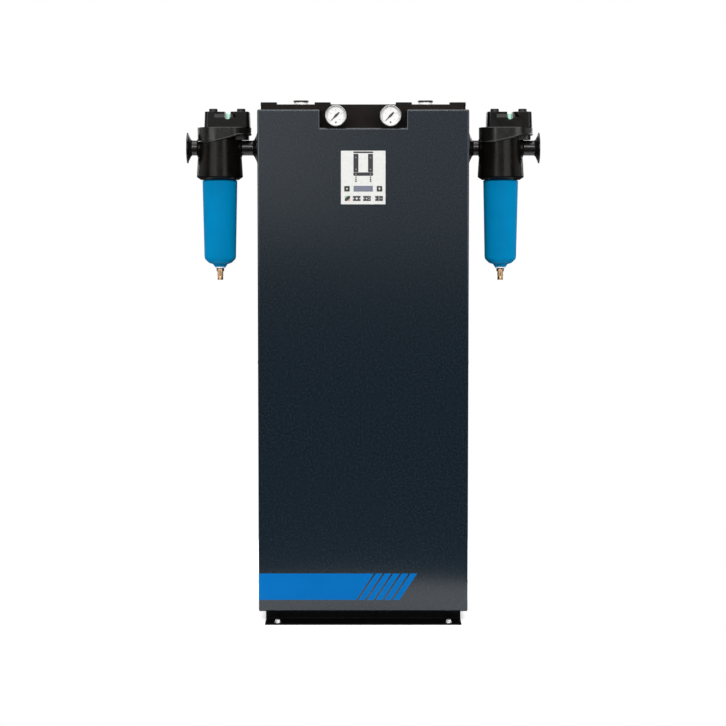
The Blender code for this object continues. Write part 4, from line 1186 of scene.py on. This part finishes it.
def filter_drain(name):
    """A brass drain with a hexagon collar, a ribbed barrel and a plain nose."""
    place = in_filter(name)
    hexagon = circle(0.0088, 6)
    barrel = rounded([(0, -0.2835, 0), (0.0062, -0.2835, 0), (0.0066, -0.2850, 0.0004),
                      (0.0066, -0.2950, 0.0004), (0.0060, -0.2956, 0)], steps=2)
    nose = rounded([(0.0060, -0.2950, 0), (0.0060, -0.2962, 0), (0.0064, -0.2972, 0.0004),
                    (0.0064, -0.3030, 0.0006), (0.0020, -0.3030, 0), (0.0016, -0.2990, 0),
                    (0, -0.2990, 0)], steps=3)
    shank = [(0, -0.2585), (0.0058, -0.2585), (0.0058, -0.2770), (0, -0.2770)]
    parts = [
        part(prism, hexagon, -0.2836, -0.2768, place, edge=0.0005),
        part(lathe, barrel, 48, place, rib=0.0004),
        part(lathe, nose, 48, place),
        part(lathe, shank, 24, place),
    ]
    node = f"filter_{name}_drain"
    piece(f"filter_{name}_tap", joined(parts), "brass", body=node, replaces=[node])


def pipe_flange(node, side):
    """A nipple that flares into a thin flange with a raised face round its bore."""
    low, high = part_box(node)
    near, face = (high.x, low.x) if side == LEFT else (low.x, high.x)
    from_face = [
        (0.0132, 0.0015, 0.0003), (0.0138, 0, 0), (0.0195, 0, 0.0002), (0.0195, 0.0006, 0.0002),
        (0.0348, 0.0006, 0.0006), (0.0353, 0.0030, 0.0008), (0.0310, 0.0040, 0.003),
        (0.0190, 0.0098, 0.006), (0.0172, 0.0125, 0.002),
    ]
    flare = [(radius, abs(face - near) - depth, corner) for radius, depth, corner in from_face]
    profile = rounded(flare + [(0.0172, 0, 0.0006), (0.0132, 0, 0)], closed=True)
    mesh = mesh_of(lathe, profile, 96, along_x(near, 0, PORT_Z, side), closed=True)
    piece(f"{node}_disc", mesh, "black_casting", PIPE_BLACK, replaces=[node])


def filter_element(name):
    """A pleated cartridge with a cap at each end."""
    node = f"filter_{name}_element"
    low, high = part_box(node)
    x, y, _z = middle(node)
    place, radius, cap = standing(x, y, 0), half_size(node)[0], 0.006
    sleeve = [(0.012, low.z + cap), (radius - 0.001, low.z + cap), (radius - 0.001, high.z - cap),
              (0.012, high.z - cap)]
    mesh = mesh_of(lathe, sleeve, 72, place, closed=True, rib=0.0025)
    piece(f"filter_{name}_pleats", mesh, "filter_media", replaces=[node])
    ends = []
    for bottom, top in ((low.z, low.z + cap), (high.z - cap, high.z)):
        ring = [(0.0118, bottom), (radius, bottom), (radius, top), (0.0118, top)]
        ends.append(part(lathe, ring, 48, place, closed=True))
    piece(f"filter_{name}_end_caps", joined(ends), "filter_media", MATERIALS["black_plastic"])


def filters():
    for name, _side in SIDES:
        filter_head(name)
        filter_cap(name)
        filter_trim(name)
        filter_bowl(name)
        filter_drain(name)
        filter_element(name)
        pipe_flange(f"filter_{name}_flange_in", LEFT)
        pipe_flange(f"filter_{name}_flange_out", RIGHT)


# ---------------------------------------------------------------- inside the cabinet

def carried_nodes():
    """CAD nodes that stay as they are get the procedural material of their own slot."""
    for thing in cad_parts.values():
        for holder in thing.material_slots:
            slot = holder.material.name.split(".")[0] if holder.material else ""
            if slot in MATERIALS and not thing.hide_render:
                holder.material = MATERIALS[slot]


# ---------------------------------------------------------------- floor, light and camera

def stage():
    outline = circle(FLOOR_RADIUS, 96, (0, FLOOR_Y))
    floor = linked("floor", mesh_of(prism, outline, -0.0005, 0))
    finish = Finish("floor_pale", (0.94, 0.94, 0.94), 0.7)
    finish.tint(finish.noise(3.0, 3.0), 0.99, 1.0)
    finish.set("Emission Color", (1, 1, 1, 1))
    finish.set("Emission Strength", 0.4)
    floor.data.materials.append(finish.material)


def softbox(name, at, aim, width, height, radiance):
    """An area light of a given brightness, turned towards a point."""
    lamp = bpy.data.lights.new(name, "AREA")
    lamp.shape = "RECTANGLE"
    lamp.size = width
    lamp.size_y = height
    lamp.energy = radiance * math.pi * width * height
    holder = linked(name, lamp)
    holder.location = at
    holder.rotation_euler = (Vector(aim) - Vector(at)).to_track_quat("-Z", "Y").to_euler()
    holder.visible_camera = False


def studio():
    world = bpy.data.worlds.new("studio")
    bpy.context.scene.world = world
    world.use_nodes = True
    nodes, links = world.node_tree.nodes, world.node_tree.links
    nodes.clear()
    seen, light = nodes.new("ShaderNodeBackground"), nodes.new("ShaderNodeBackground")
    seen.inputs["Color"].default_value = (1, 1, 1, 1)
    light.inputs["Color"].default_value = (WORLD_LIGHT, WORLD_LIGHT, WORLD_LIGHT, 1)
    path, mix = nodes.new("ShaderNodeLightPath"), nodes.new("ShaderNodeMixShader")
    links.new(path.outputs["Is Camera Ray"], mix.inputs["Fac"])
    links.new(light.outputs["Background"], mix.inputs[1])
    links.new(seen.outputs["Background"], mix.inputs[2])
    links.new(mix.outputs["Shader"], nodes.new("ShaderNodeOutputWorld").inputs["Surface"])
    aim = (0, 0, 0.7)
    for side in (LEFT, RIGHT):
        softbox("key", (side * 3.0, -4.7, 1.9), aim, 3.2, 2.6, 3.7)
        softbox("high", (side * 1.5, -5.5, 3.8), aim, 1.6, 1.4, 12.0)
        softbox("side_bank", (side * 6.5, 0.4, 2.3), (0, 0.4, 2.3), 5.0, 3.4, 0.9)
        softbox("rear_key", (side * 2.6, 3.0, 2.2), aim, 2.0, 2.0, 4.0)
    softbox("bank_left", (-1.75, -7.5, 2.585), (-1.75, 0, 2.585), 3.3, 3.63, 0.97)
    softbox("bank_right", (1.75, -7.5, 2.51), (1.75, 0, 2.51), 3.7, 3.82, 0.46)
    softbox("front_high", (0, -5.5, 3.8), aim, 0.9, 1.4, 11.0)
    softbox("rear_bank", (0, 7.5, 2.6), (0, 0, 2.6), 7.0, 3.6, 0.7)
    softbox("ceiling", (0, -0.3, 4.0), (0, 0, 0), 3.2, 3.2, 3.1)
    bpy.context.scene.view_settings.view_transform = "Standard"


def camera():
    lens = bpy.data.cameras.new("camera")
    lens.lens = FOCAL_LENGTH
    lens.sensor_width = 36.0
    lens.clip_end = 60.0
    holder = linked("camera", lens)
    holder.location = CAMERA_PLACE
    holder.rotation_euler = (QUARTER - CAMERA_DOWN, 0, 0)
    bpy.context.scene.camera = holder


covers()
cover_screws()
anchor_bolts()
front_stripe()
side_panels()
base_tray()
power_gland()
top_manifold()
fill_ports()
gauges()
control_label()
filters()
carried_nodes()
stage()
studio()
camera()
